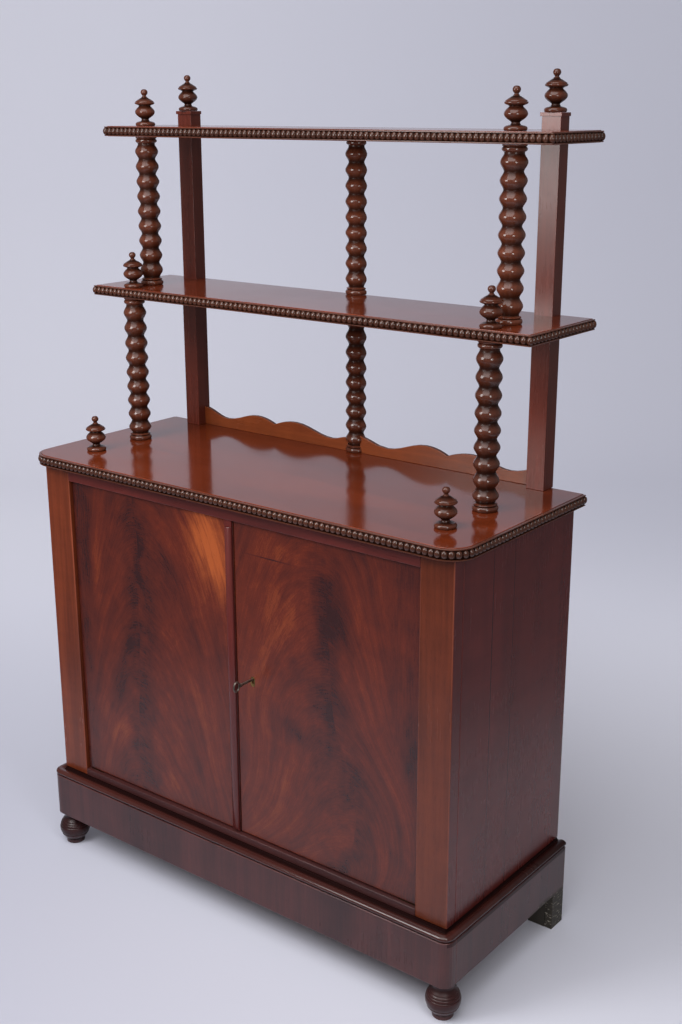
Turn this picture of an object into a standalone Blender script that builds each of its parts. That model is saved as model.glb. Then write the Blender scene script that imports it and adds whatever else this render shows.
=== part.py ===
"""Mahogany etagere: a two-door cabinet with two open shelves on turned columns.

The back of the piece faces +Y, its left side -X, and the floor is Z = 0.
Depths are measured forwards from the flat back, heights upwards from the floor.
"""

import math

import bmesh
import bpy
from mathutils import Matrix, Vector

MM = 0.001

# Overall width, over the mouldings of the cabinet top and the middle shelf
WIDTH = 1020 * MM

# Cabinet carcase
CARCASE_DEPTH = 385 * MM
CARCASE_HEIGHT = 668 * MM
SIDE_THICK = 20 * MM
PILASTER_WIDTH = 66 * MM
PILASTER_THICK = 27 * MM
TOP_RAIL_HEIGHT = 26 * MM
BOTTOM_RAIL_HEIGHT = 14 * MM
RAIL_DEPTH = 46 * MM
FLOOR_THICK = 14 * MM
BACK_THICK = 8 * MM
BACK_REBATE = 4 * MM

# Loose shelf inside the cabinet
INNER_SHELF_THICK = 14 * MM
INNER_SHELF_SETBACK = 72 * MM
INNER_SHELF_RISE = 324 * MM
BEARER_SIZE = 18 * MM

# Doors
DOOR_THICK = 20 * MM
DOOR_RECESS = 8 * MM
DOOR_SIDE_GAP = 1.5 * MM
DOOR_TOP_GAP = 1.5 * MM
DOOR_BOTTOM_GAP = 2.5 * MM
DOOR_MEET_GAP = 2 * MM
MEET_OFFSET = 9 * MM
CLOSING_BEAD_WIDTH = 16 * MM
CLOSING_BEAD_PROUD = 7.5 * MM
CLOSING_BEAD_STOP = 13 * MM

# Pivots at the top and bottom of each door
PIVOT_FROM_EDGE = 10 * MM
PIVOT_FROM_FACE = 5 * MM
PIVOT_RADIUS = 2.6 * MM
PIVOT_REACH = 14 * MM
PIVOT_PLATE_LENGTH = 34 * MM
PIVOT_PLATE_WIDTH = 9 * MM

# Lock and key
KEY_FROM_MEET = 37.5 * MM
KEY_HEIGHT = 520 * MM
KEY_SHANK_RADIUS = 2.4 * MM
KEY_REACH = 53 * MM
KEY_BOW_HEIGHT = 22 * MM
KEY_BOW_LENGTH = 18 * MM
KEY_WIRE_RADIUS = 1.7 * MM
KEY_BIT_DROP = 8 * MM
KEY_BIT_THICK = 2 * MM
LINER_HEIGHT = 20 * MM
LINER_WIDTH = 10 * MM
LINER_THICK = 1.2 * MM
LOCK_WIDTH = 62 * MM
LOCK_HEIGHT = 52 * MM
LOCK_DEPTH = 11 * MM
LOCK_WALL = 1.5 * MM
LOCK_BOLT_LENGTH = 22 * MM
LOCK_BOLT_HEIGHT = 14 * MM
LOCK_BOLT_THICK = 5 * MM
LOCK_BOLT_THROW = 9 * MM

# Bolts behind the left door
DOOR_BOLT_INSET = 24 * MM
DOOR_BOLT_RADIUS = 2.5 * MM
DOOR_BOLT_LENGTH = 80 * MM
DOOR_BOLT_THROW = 10 * MM
DOOR_BOLT_KNOB_RADIUS = 4 * MM
DOOR_BOLT_KNOB_REACH = 9 * MM
DOOR_BOLT_PLATE_WIDTH = 16 * MM
DOOR_BOLT_PLATE_THICK = 1.6 * MM
DOOR_BOLT_LUG = 12 * MM

# Plinth and feet
FOOT_HEIGHT = 73 * MM
FOOT_RADIUS = 32 * MM
FOOT_SIDE_INSET = 26 * MM
FOOT_FRONT_INSET = 29 * MM
REAR_FOOT_DEPTH = 41 * MM
REAR_BLOCK_WIDTH = 36 * MM
REAR_BLOCK_HEIGHT = 130 * MM
PLINTH_HEIGHT = 90 * MM
PLINTH_SIDE_OUT = 18 * MM
PLINTH_FRONT_OUT = 22 * MM
PLINTH_SIDE_THICK = 16 * MM
PLINTH_FRONT_THICK = 27 * MM
PLINTH_CORNER_RADIUS = 20 * MM
PLINTH_MOULDING_HEIGHT = 14 * MM
PLINTH_MOULDING_PROUD = 1 * MM
PLINTH_BEAD_HEIGHT = 11.5 * MM

# Cabinet top and the two open shelves; each shelf steps back from the one below, moulding to moulding
TOP_SIDE_LIP = 24 * MM
TOP_FRONT_LIP = 24 * MM
TOP_THICK = 22 * MM
TOP_CORNER_RADIUS = 50 * MM
MIDDLE_STEP_BACK = 192 * MM
UPPER_STEP_BACK = 48 * MM
UPPER_SIDE_INSET = 2 * MM
SHELF_THICK = 20 * MM
SHELF_CORNER_RADIUS = 5 * MM
BEAD_BAND_THICK = 7 * MM
BEAD_RADIUS = 6 * MM

# Turned columns
LOWER_BAY_HEIGHT = 290.5 * MM
UPPER_BAY_HEIGHT = 288 * MM
COLUMN_RADIUS = 22.7 * MM
COLUMN_SIDES = 16
BOBBIN_COUNT = 9
LOWER_BOBBIN_GROWTH = 0.013
UPPER_BOBBIN_GROWTH = 0.0
COLUMN_BASE_HEIGHT = 14 * MM
COLUMN_HEAD_HEIGHT = 14 * MM
LOWER_COLUMN_INSET = 93 * MM
LOWER_COLUMN_SETBACK = 28 * MM
UPPER_COLUMN_INSET = 91 * MM
UPPER_COLUMN_SETBACK = 33.5 * MM

# Posts and gallery
POST_WIDTH = 36 * MM
POST_FOOT_FRONT = 30 * MM
POST_FRONT = 25 * MM
POST_BACK_OUT = 4 * MM
POST_FINIAL_DEPTH = 12.5 * MM
POST_INSET = 89 * MM
POST_RISE = 21.5 * MM
POST_CAP_THICK = 6 * MM
POST_CAP_LIP = 3.7 * MM
GALLERY_THICK = 8 * MM
LEFT_CREST = ((-13, 38), (58, 19), (152, 38), (207, 26), (256, 37.2), (339, 20), (406, 38))
RIGHT_CREST = ((-50, 58.8), (79, 18.8), (170, 38.4), (220, 26), (275, 37), (357, 20), (437, 38))
CREST_NOTCH = 3
GALLERY_INSET = 3 * MM

# Finials
FINIAL_HEIGHT = 69 * MM
FINIAL_RADIUS = 19.3 * MM
FINIAL_SIDES = 16
FRONT_FINIAL_INSET = 93 * MM
FRONT_FINIAL_SETBACK = 99 * MM

# Clearances
SEAT = 0.3 * MM
RUNNING = 0.4 * MM

# Derived heights
PLINTH_TOP = FOOT_HEIGHT + PLINTH_HEIGHT
CARCASE_BOTTOM = PLINTH_TOP + PLINTH_MOULDING_HEIGHT
CARCASE_TOP = CARCASE_BOTTOM + CARCASE_HEIGHT
CABINET_TOP = CARCASE_TOP + TOP_THICK
MIDDLE_UNDER = CABINET_TOP + LOWER_BAY_HEIGHT
MIDDLE_TOP = MIDDLE_UNDER + SHELF_THICK
UPPER_UNDER = MIDDLE_TOP + UPPER_BAY_HEIGHT
UPPER_TOP = UPPER_UNDER + SHELF_THICK
POST_TOP = UPPER_TOP + POST_RISE + POST_CAP_THICK
RAIL_TOP = CARCASE_BOTTOM + BOTTOM_RAIL_HEIGHT
DOOR_BOTTOM = RAIL_TOP + DOOR_BOTTOM_GAP
TOP_RAIL_UNDER = CARCASE_TOP - TOP_RAIL_HEIGHT
DOOR_TOP = TOP_RAIL_UNDER - DOOR_TOP_GAP

# Derived widths and depths
UPPER_WIDTH = WIDTH - 2 * UPPER_SIDE_INSET
TOP_DEPTH = CARCASE_DEPTH + TOP_FRONT_LIP
MIDDLE_DEPTH = TOP_DEPTH - MIDDLE_STEP_BACK
UPPER_DEPTH = MIDDLE_DEPTH - UPPER_STEP_BACK
HALF = WIDTH / 2 - TOP_SIDE_LIP
LOWER_COLUMN_X = WIDTH / 2 - LOWER_COLUMN_INSET
UPPER_COLUMN_X = WIDTH / 2 - UPPER_COLUMN_INSET
FRONT_FINIAL_X = WIDTH / 2 - FRONT_FINIAL_INSET
POST_X = WIDTH / 2 - POST_INSET
LOWER_COLUMN_DEPTH = MIDDLE_DEPTH - LOWER_COLUMN_SETBACK
UPPER_COLUMN_DEPTH = UPPER_DEPTH - UPPER_COLUMN_SETBACK
FRONT_FINIAL_DEPTH = TOP_DEPTH - FRONT_FINIAL_SETBACK
INSIDE = HALF - SIDE_THICK
OPENING = HALF - PILASTER_WIDTH
DOOR_FACE = CARCASE_DEPTH - DOOR_RECESS
DOOR_BACK = DOOR_FACE - DOOR_THICK
DOOR_OUTER = OPENING - DOOR_SIDE_GAP
LEFT_DOOR_EDGE = MEET_OFFSET - DOOR_MEET_GAP / 2
RIGHT_DOOR_EDGE = MEET_OFFSET + DOOR_MEET_GAP / 2
PIVOT_X = DOOR_OUTER - PIVOT_FROM_EDGE
PIVOT_DEPTH = DOOR_FACE - PIVOT_FROM_FACE
KEY_X = RIGHT_DOOR_EDGE + KEY_FROM_MEET
KEY_FRONT = DOOR_FACE + KEY_REACH
LOCK_FLOOR = DOOR_BACK + LOCK_DEPTH
LOCK_BOLT_DEPTH = DOOR_BACK + LOCK_WALL + RUNNING + LOCK_BOLT_THICK / 2
PLINTH_HALF = HALF + PLINTH_SIDE_OUT
PLINTH_FRONT = CARCASE_DEPTH + PLINTH_FRONT_OUT
PLINTH_SIDE_REACH = PLINTH_FRONT - PLINTH_FRONT_THICK - SEAT
FOOT_DEPTH = PLINTH_FRONT - FOOT_FRONT_INSET
FRONT_REACH = max(TOP_DEPTH, PLINTH_FRONT + PLINTH_MOULDING_PROUD, FOOT_DEPTH + FOOT_RADIUS, KEY_FRONT)
BACK_REACH = max(POST_BACK_OUT, FINIAL_RADIUS - POST_FINIAL_DEPTH)
BACK = (FRONT_REACH - BACK_REACH) / 2


def at(x, depth, z):
    """Point at x, this far in front of the flat back, at height z."""
    return Vector((x, BACK - depth, z))


def start_scene():
    """Empty the scene and make the collections for the pieces and the cutters."""
    for old in list(bpy.data.objects):
        bpy.data.objects.remove(old, do_unlink=True)
    pieces = bpy.data.collections.new("etagere")
    cutters = bpy.data.collections.new("cutters")
    bpy.context.scene.collection.children.link(pieces)
    bpy.context.scene.collection.children.link(cutters)
    return pieces, cutters


PIECES, CUTTERS = start_scene()


def finish_material(name, colour, roughness, metallic=0.0):
    material = bpy.data.materials.new(name)
    material.use_nodes = True
    shader = material.node_tree.nodes["Principled BSDF"]
    shader.inputs["Base Color"].default_value = (*colour, 1.0)
    shader.inputs["Roughness"].default_value = roughness
    shader.inputs["Metallic"].default_value = metallic
    material.diffuse_color = (*colour, 1.0)
    return material


POLISHED = finish_material("polished_mahogany", (0.20, 0.065, 0.035), 0.22)
FLAME = finish_material("flame_mahogany", (0.27, 0.095, 0.045), 0.28)
DULL = finish_material("dull_mahogany", (0.14, 0.06, 0.05), 0.4)
TURNED = finish_material("turned_mahogany", (0.16, 0.05, 0.03), 0.2)
CARCASE_WOOD = finish_material("carcase_pine", (0.42, 0.27, 0.15), 0.7)
BRASS = finish_material("old_brass", (0.55, 0.42, 0.2), 0.35, 1.0)
STEEL = finish_material("dark_steel", (0.2, 0.19, 0.18), 0.4, 1.0)


def add_object(name, data, material, location=(0, 0, 0), collection=None):
    piece = bpy.data.objects.new(name, data)
    (collection or PIECES).objects.link(piece)
    piece.location = location
    if material is not None:
        data.materials.append(material)
    return piece


def mesh_from(name, bm):
    mesh = bpy.data.meshes.new(name)
    bm.to_mesh(mesh)
    bm.free()
    return mesh


def box(name, material, xs, depths, zs, origin=None, collection=None):
    """Box between two x, two depths and two heights, its origin at its middle or at origin."""
    low = at(min(xs), max(depths), min(zs))
    high = at(max(xs), min(depths), max(zs))
    centre = (low + high) / 2
    origin = centre if origin is None else origin
    bm = bmesh.new()
    bmesh.ops.create_cube(bm, size=1.0)
    size = high - low
    bmesh.ops.transform(bm, matrix=Matrix.Diagonal((size.x, size.y, size.z, 1.0)), verts=bm.verts)
    bmesh.ops.translate(bm, vec=centre - origin, verts=bm.verts)
    return add_object(name, mesh_from(name, bm), material, origin, collection)


def rod(name, material, start, end, radius, sides=16, collection=None):
    """Cylinder from start to end, its origin at start."""
    run = end - start
    bm = bmesh.new()
    bmesh.ops.create_cone(bm, cap_ends=True, segments=sides, radius1=radius, radius2=radius,
                          depth=run.length)
    bmesh.ops.translate(bm, vec=(0, 0, run.length / 2), verts=bm.verts)
    turn = Vector((0, 0, 1)).rotation_difference(run).to_matrix()
    bmesh.ops.rotate(bm, cent=(0, 0, 0), matrix=turn, verts=bm.verts)
    return add_object(name, mesh_from(name, bm), material, start, collection)


def plate(name, material, outline, thick, location, turn=None, collection=None):
    """Flat outline, a filled 2D curve, extruded to this thickness about its own plane."""
    curve = bpy.data.curves.new(name, "CURVE")
    curve.dimensions = "2D"
    curve.fill_mode = "BOTH"
    curve.extrude = thick / 2
    spline = curve.splines.new("POLY")
    spline.points.add(len(outline) - 1)
    for point, (u, v) in zip(spline.points, outline):
        point.co = (u, v, 0.0, 1.0)
    spline.use_cyclic_u = True
    piece = add_object(name, curve, material, location, collection)
    if turn is not None:
        piece.rotation_euler = turn
    return piece


def turned(name, material, profile, sides, location, collection=None):
    """Turned piece: its (radius, height) profile runs top to bottom and is screwed round Z."""
    mesh = bpy.data.meshes.new(name)
    points = [(radius, 0.0, z) for radius, z in profile]
    edges = [(i, i + 1) for i in range(len(points) - 1)]
    mesh.from_pydata(points, edges, [])
    piece = add_object(name, mesh, material, location, collection)
    screw = piece.modifiers.new("turn", "SCREW")
    screw.steps = sides
    screw.render_steps = sides
    screw.use_merge_vertices = True
    screw.merge_threshold = 0.00001
    screw.use_smooth_shade = True
    return piece


def moulding(name, material, path, profile, location=(0, 0, 0)):
    """Strip along a level path with mitred corners; profile is (outwards, height) pairs."""
    bm = bmesh.new()
    rings = []
    for i, point in enumerate(path):
        before = (point - path[i - 1]).normalized() if i else (path[1] - point).normalized()
        after = (path[i + 1] - point).normalized() if i + 1 < len(path) else before
        out = Vector((before.y + after.y, -before.x - after.x)).normalized()
        stretch = 1.0 / out.dot(Vector((before.y, -before.x)))
        ring = [bm.verts.new((point.x + out.x * u * stretch, point.y + out.y * u * stretch, v))
                for u, v in profile]
        rings.append([bm.edges.new((ring[k], ring[k - 1])) for k in range(len(ring))])
    for first, second in zip(rings, rings[1:]):
        bmesh.ops.bridge_loops(bm, edges=first + second)
    for ring in (rings[0], rings[-1]):
        bmesh.ops.contextual_create(bm, geom=ring)
    bmesh.ops.recalc_face_normals(bm, faces=bm.faces)
    return add_object(name, mesh_from(name, bm), material, location)


def cut(piece, *cutters):
    """Cut each cutter out of the piece with an exact Boolean."""
    for cutter in cutters:
        cutter.hide_render = True
        cutter.display_type = "WIRE"
        change = piece.modifiers.new(cutter.name, "BOOLEAN")
        change.operation = "DIFFERENCE"
        change.solver = "EXACT"
        change.object = cutter
    return piece


def join(piece, *others):
    """Unite the other shapes with the piece; they are kept as hidden guides."""
    for other in others:
        other.hide_render = True
        other.display_type = "WIRE"
        change = piece.modifiers.new(other.name, "BOOLEAN")
        change.operation = "UNION"
        change.solver = "EXACT"
        change.object = other
    return piece


def to_mesh(piece):
    """Turn a curve piece into a mesh piece with its caps welded on."""
    graph = bpy.context.evaluated_depsgraph_get()
    mesh = bpy.data.meshes.new_from_object(piece.evaluated_get(graph))
    bm = bmesh.new()
    bm.from_mesh(mesh)
    bmesh.ops.remove_doubles(bm, verts=bm.verts, dist=0.00001)
    bm.to_mesh(mesh)
    bm.free()
    name = piece.name
    collection = piece.users_collection[0]
    place = piece.matrix_world.copy()
    bpy.data.objects.remove(piece, do_unlink=True)
    solid = bpy.data.objects.new(name, mesh)
    solid.matrix_world = place
    collection.objects.link(solid)
    return solid


def arc(cx, cy, radius, start, end, steps):
    """Points on an arc, angles in degrees."""
    angles = [math.radians(start + (end - start) * i / steps) for i in range(steps + 1)]
    return [(cx + radius * math.cos(a), cy + radius * math.sin(a)) for a in angles]


def front_path(width, depth, radius, steps, back=0.0):
    """Path round the left side, front and right side, with rounded front corners."""
    half = width / 2
    corner = half - radius
    left = arc(-corner, depth - radius, radius, 180, 90, steps)
    right = arc(corner, depth - radius, radius, 90, 0, steps)
    points = [(-half, back)] + left + right + [(half, back)]
    return [Vector((x, BACK - d)) for x, d in points]


def rounded_front(width, depth, radius, steps, notches=()):
    """Plan of a shelf: rounded front corners, and notches (x, width, depth) in its back edge."""
    half = width / 2
    corner = half - radius
    points = arc(-corner, depth - radius, radius, 180, 90, steps)
    points += arc(corner, depth - radius, radius, 90, 0, steps)
    points.append((half, 0.0))
    for x, wide, deep in sorted(notches, reverse=True):
        points += [(x + wide / 2, 0.0), (x + wide / 2, deep), (x - wide / 2, deep), (x - wide / 2, 0.0)]
    points.append((-half, 0.0))
    return [(x, -d) for x, d in points]


def bead_profile(thick, height, bead):
    """Section of the bead band: a half-round between two small fillets, on a flat back."""
    flat = thick - bead * 0.62
    mid = height / 2
    points = [(-thick, 0.0), (-thick, height), (flat - thick, height)]
    for i in range(5):
        angle = math.radians(90 - 45 * i)
        points.append((flat - thick + bead * 0.62 * math.cos(angle), mid + bead * math.sin(angle)))
    points.append((flat - thick, 0.0))
    return points


def build_shelf(name, width, depth, thick, radius, steps, under, notches=()):
    """One shelf or top: the board and the beaded moulding round its front and sides."""
    board_width = width - 2 * (BEAD_BAND_THICK + SEAT)
    board_depth = depth - BEAD_BAND_THICK - SEAT
    board_radius = max(radius - BEAD_BAND_THICK - SEAT, 0.5 * MM)
    outline = rounded_front(board_width, board_depth, board_radius, steps, notches)
    base = at(0, 0, under + thick / 2 + SEAT / 2)
    plate(name, POLISHED, outline, thick - SEAT, base)
    path = front_path(width, depth, radius, steps)
    profile = bead_profile(BEAD_BAND_THICK, thick - 2 * MM, BEAD_RADIUS)
    moulding(name + "_moulding", TURNED, path, profile, (0, 0, under + 1 * MM))


def column_profile(height, growth):
    """Bobbin-turned column: base ring, bobbins that swell and sink in one wave, and a head ring."""
    base = COLUMN_BASE_HEIGHT
    head = COLUMN_HEAD_HEIGHT
    pitch = (height - base - head) / BOBBIN_COUNT
    neck = 0.715 * COLUMN_RADIUS
    profile = [(0.0, height), (COLUMN_RADIUS * 0.92, height)]
    profile += [(COLUMN_RADIUS * 0.95, height - head * 0.45), (neck * 0.98, height - head * 0.7)]
    edge = height - head
    for i in range(BOBBIN_COUNT):
        long = pitch * (1 + growth * ((BOBBIN_COUNT - 1) / 2 - i))
        for part in (0.0, 0.27, 0.5, 0.73):
            swell = (1 - math.cos(2 * math.pi * part)) / 2
            profile.append((neck + (COLUMN_RADIUS - neck) * swell, edge - part * long))
        edge -= long
    profile += [(neck, base), (neck * 0.98, base * 0.86), (COLUMN_RADIUS * 0.93, base * 0.72)]
    profile += [(COLUMN_RADIUS, base * 0.42), (COLUMN_RADIUS * 0.95, 0.0), (0.0, 0.0)]
    return profile


def build_column(name, x, depth, under, height, growth):
    profile = column_profile(height - 2 * SEAT, growth)
    return turned(name, TURNED, profile, COLUMN_SIDES, at(x, depth, under + SEAT))


def build_half_column(name, under, height, growth):
    """Column turned as two glued halves: the half in front of the flat back is kept."""
    column = build_column(name, 0, SEAT, under, height, growth)
    column.rotation_euler = (0, 0, math.radians(180 / COLUMN_SIDES))
    wide = 2 * COLUMN_RADIUS
    behind = box(name + "_back", None, (-wide, wide), (-wide, SEAT), (under - SEAT, under + height + SEAT),
                 collection=CUTTERS)
    return cut(column, behind)


FINIAL_STEPS = (
    (1.00, 0.00), (0.97, 0.27), (0.915, 0.35), (0.826, 0.19), (0.77, 0.33), (0.727, 0.62), (0.67, 0.92),
    (0.62, 1.00), (0.59, 0.90), (0.55, 0.58), (0.50, 0.74), (0.43, 0.95), (0.37, 1.00), (0.30, 0.88),
    (0.24, 0.58), (0.19, 0.36), (0.15, 0.40), (0.125, 0.62), (0.098, 0.90), (0.046, 1.00), (0.00, 0.91),
)


def build_finial(name, x, depth, seat):
    """Turned finial: knob, two bulbs and a spreading foot."""
    profile = [(FINIAL_RADIUS * r, FINIAL_HEIGHT * h) for h, r in FINIAL_STEPS]
    profile.append((0.0, 0.0))
    return turned(name, TURNED, profile, FINIAL_SIDES, at(x, depth, seat + SEAT))


FOOT_STEPS = (
    (1.00, 0.00), (1.00, 0.65), (0.90, 0.61), (0.82, 0.61), (0.77, 0.70), (0.70, 0.81), (0.63, 0.90), (0.54, 0.975),
    (0.45, 1.00), (0.34, 0.965), (0.23, 0.86), (0.135, 0.67), (0.095, 0.57), (0.04, 0.59), (0.00, 0.55),
)


def build_front_foot(name, side):
    """Bun foot: a small collar, a ball and a neck that enters the plinth."""
    height = FOOT_HEIGHT - SEAT
    profile = [(FOOT_RADIUS * r, height * h) for h, r in FOOT_STEPS]
    profile.append((0.0, 0.0))
    x = side * (PLINTH_HALF - FOOT_SIDE_INSET)
    return turned(name, DULL, profile, 16, at(x, FOOT_DEPTH, 0))


def build_plinth():
    """Front board with rounded corners, side boards that reach the floor behind, and the feet."""
    top = PLINTH_TOP - SEAT
    middle = (FOOT_HEIGHT + top) / 2
    reach = PLINTH_FRONT - PLINTH_FRONT_THICK
    radius = PLINTH_CORNER_RADIUS
    front = [(-PLINTH_HALF, reach)] + arc(radius - PLINTH_HALF, PLINTH_FRONT - radius, radius, 180, 90, 6)
    front += arc(PLINTH_HALF - radius, PLINTH_FRONT - radius, radius, 90, 0, 6) + [(PLINTH_HALF, reach)]
    plate("plinth_front", DULL, [(x, -d) for x, d in front], top - FOOT_HEIGHT, at(0, 0, middle))
    side_outline = [(0, 0), (0, top), (PLINTH_SIDE_REACH, top), (PLINTH_SIDE_REACH, FOOT_HEIGHT),
                    (REAR_FOOT_DEPTH, FOOT_HEIGHT), (REAR_FOOT_DEPTH, 0)]
    for label, side in (("left", -1), ("right", 1)):
        x = side * (PLINTH_HALF - PLINTH_SIDE_THICK / 2)
        plate(label + "_plinth_side", DULL, side_outline, PLINTH_SIDE_THICK, at(x, 0, 0),
              (math.radians(90), 0, math.radians(-90)))
        build_front_foot(label + "_front_foot", side)
        inner = PLINTH_HALF - PLINTH_SIDE_THICK - SEAT
        box(label + "_rear_foot_block", CARCASE_WOOD, (side * (inner - REAR_BLOCK_WIDTH), side * inner),
            (0, REAR_FOOT_DEPTH), (0, REAR_BLOCK_HEIGHT))
    proud = PLINTH_MOULDING_PROUD
    out = PLINTH_SIDE_OUT + proud
    bead = PLINTH_BEAD_HEIGHT
    inward = -(SIDE_THICK + out)
    profile = [(inward, 0.0), (inward, PLINTH_MOULDING_HEIGHT - SEAT)]
    profile += [(-out * 0.9, PLINTH_MOULDING_HEIGHT - SEAT), (-out * 0.7, bead * 1.05), (-out * 0.5, bead)]
    profile += [(-out * 0.25, bead), (-out * 0.08, bead * 0.83), (0.0, bead * 0.5), (-out * 0.05, bead * 0.2)]
    profile += [(-out * 0.15, 0.0)]
    path = front_path(2 * (PLINTH_HALF + proud), PLINTH_FRONT + proud, 6 * MM, 2)
    moulding("plinth_moulding", TURNED, path, profile, (0, 0, PLINTH_TOP))


def build_carcase():
    low = CARCASE_BOTTOM
    high = CARCASE_TOP - SEAT
    behind = CARCASE_DEPTH - PILASTER_THICK
    for label, side in (("left", -1), ("right", 1)):
        box(label + "_side_panel", POLISHED, (side * INSIDE, side * HALF), (0, behind - SEAT), (low, high))
        box(label + "_pilaster", POLISHED, (side * OPENING, side * HALF), (behind, CARCASE_DEPTH), (low, high))
    inner = OPENING - SEAT
    rail_back = CARCASE_DEPTH - RAIL_DEPTH
    wide = INSIDE - SEAT
    top_rail = box("top_rail", POLISHED, (-inner, inner), (rail_back, CARCASE_DEPTH), (TOP_RAIL_UNDER, high))
    bottom_rail = box("bottom_rail", DULL, (-inner, inner), (rail_back, CARCASE_DEPTH), (low, RAIL_TOP))
    floor_depths = (BACK_REBATE + BACK_THICK + SEAT, rail_back - SEAT)
    box("cabinet_floor", CARCASE_WOOD, (-wide, wide), floor_depths, (RAIL_TOP - FLOOR_THICK, RAIL_TOP))
    box("back_panel", CARCASE_WOOD, (-wide, wide), (BACK_REBATE, BACK_REBATE + BACK_THICK), (low, high))
    shelf_under = RAIL_TOP + INNER_SHELF_RISE
    shelf_back = BACK_REBATE + BACK_THICK + SEAT
    shelf_front = CARCASE_DEPTH - INNER_SHELF_SETBACK
    for label, side in (("left", -1), ("right", 1)):
        box(label + "_shelf_bearer", CARCASE_WOOD, (side * (INSIDE - SEAT - BEARER_SIZE), side * wide),
            (shelf_back, shelf_front), (shelf_under - BEARER_SIZE - SEAT, shelf_under - SEAT))
    box("inner_shelf", CARCASE_WOOD, (-wide, wide), (shelf_back, shelf_front),
        (shelf_under, shelf_under + INNER_SHELF_THICK))
    return top_rail, bottom_rail


def build_pivot(name, side, seat, tip, gap):
    """Plate on the rail with a pin that enters the door; it stands in the door's gap."""
    up = 1 if tip > seat else -1
    x = side * PIVOT_X
    half_width = PIVOT_PLATE_WIDTH / 2
    inner = side * (PIVOT_X - PIVOT_PLATE_LENGTH + half_width)
    ends = (seat + up * SEAT / 2, seat + up * (gap - SEAT))
    base = box(name, BRASS, (inner, side * (PIVOT_X + half_width)),
               (PIVOT_DEPTH - half_width, PIVOT_DEPTH + half_width), ends, origin=at(x, PIVOT_DEPTH, seat))
    pin = rod(name + "_pin", BRASS, at(x, PIVOT_DEPTH, seat + up * gap / 2), at(x, PIVOT_DEPTH, tip),
              PIVOT_RADIUS, 12, CUTTERS)
    return join(base, pin)


def build_door(label, side, low_edge, high_edge):
    """Flush door, its origin on its pivot axis, bored for the two pivot pins."""
    origin = at(side * PIVOT_X, PIVOT_DEPTH, DOOR_BOTTOM)
    door = box(label + "_door", FLAME, (low_edge, high_edge), (DOOR_BACK, DOOR_FACE), (DOOR_BOTTOM, DOOR_TOP),
               origin=origin)
    bore = PIVOT_REACH + RUNNING
    for name, end, tip in (("lower", DOOR_BOTTOM, DOOR_BOTTOM + bore), ("upper", DOOR_TOP, DOOR_TOP - bore)):
        past = end - (tip - end) * 0.3
        cut(door, rod(label + "_door_" + name + "_bore", None, at(side * PIVOT_X, PIVOT_DEPTH, past),
                      at(side * PIVOT_X, PIVOT_DEPTH, tip), PIVOT_RADIUS + RUNNING, 16, CUTTERS))
    build_pivot(label + "_lower_pivot", side, RAIL_TOP, DOOR_BOTTOM + PIVOT_REACH, DOOR_BOTTOM_GAP)
    build_pivot(label + "_upper_pivot", side, TOP_RAIL_UNDER, DOOR_TOP - PIVOT_REACH, DOOR_TOP_GAP)
    return door


def build_closing_bead(door):
    """Rounded bead planted on the left door's meeting edge."""
    half = CLOSING_BEAD_WIDTH / 2
    proud = CLOSING_BEAD_PROUD
    high = DOOR_TOP - CLOSING_BEAD_STOP
    outline = [(-half, 0.0)] + [(-half * math.cos(a), -proud * (0.45 + 0.55 * math.sin(a)))
                                for a in [math.radians(180 * i / 6) for i in range(7)]] + [(half, 0.0)]
    bead = plate("closing_bead", TURNED, outline, high - DOOR_BOTTOM,
                 at(LEFT_DOOR_EDGE - half - 0.5 * MM, DOOR_FACE + SEAT, (high + DOOR_BOTTOM) / 2))
    return bead


def slot_outline(width, height, steps=6):
    """Upright outline with half-round ends."""
    radius = width / 2
    straight = height / 2 - radius
    return arc(0, straight, radius, 0, 180, steps) + arc(0, -straight, radius, 180, 360, steps)


def keyhole_outline(radius, slot, drop):
    """Round hole with a slot below it, centred on the round part."""
    side = math.degrees(math.asin(slot / 2 / radius))
    return arc(0, 0, radius, side - 90, 270 - side, 10) + [(-slot / 2, -drop), (slot / 2, -drop)]


UPRIGHT = (math.radians(90), 0, 0)


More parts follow.
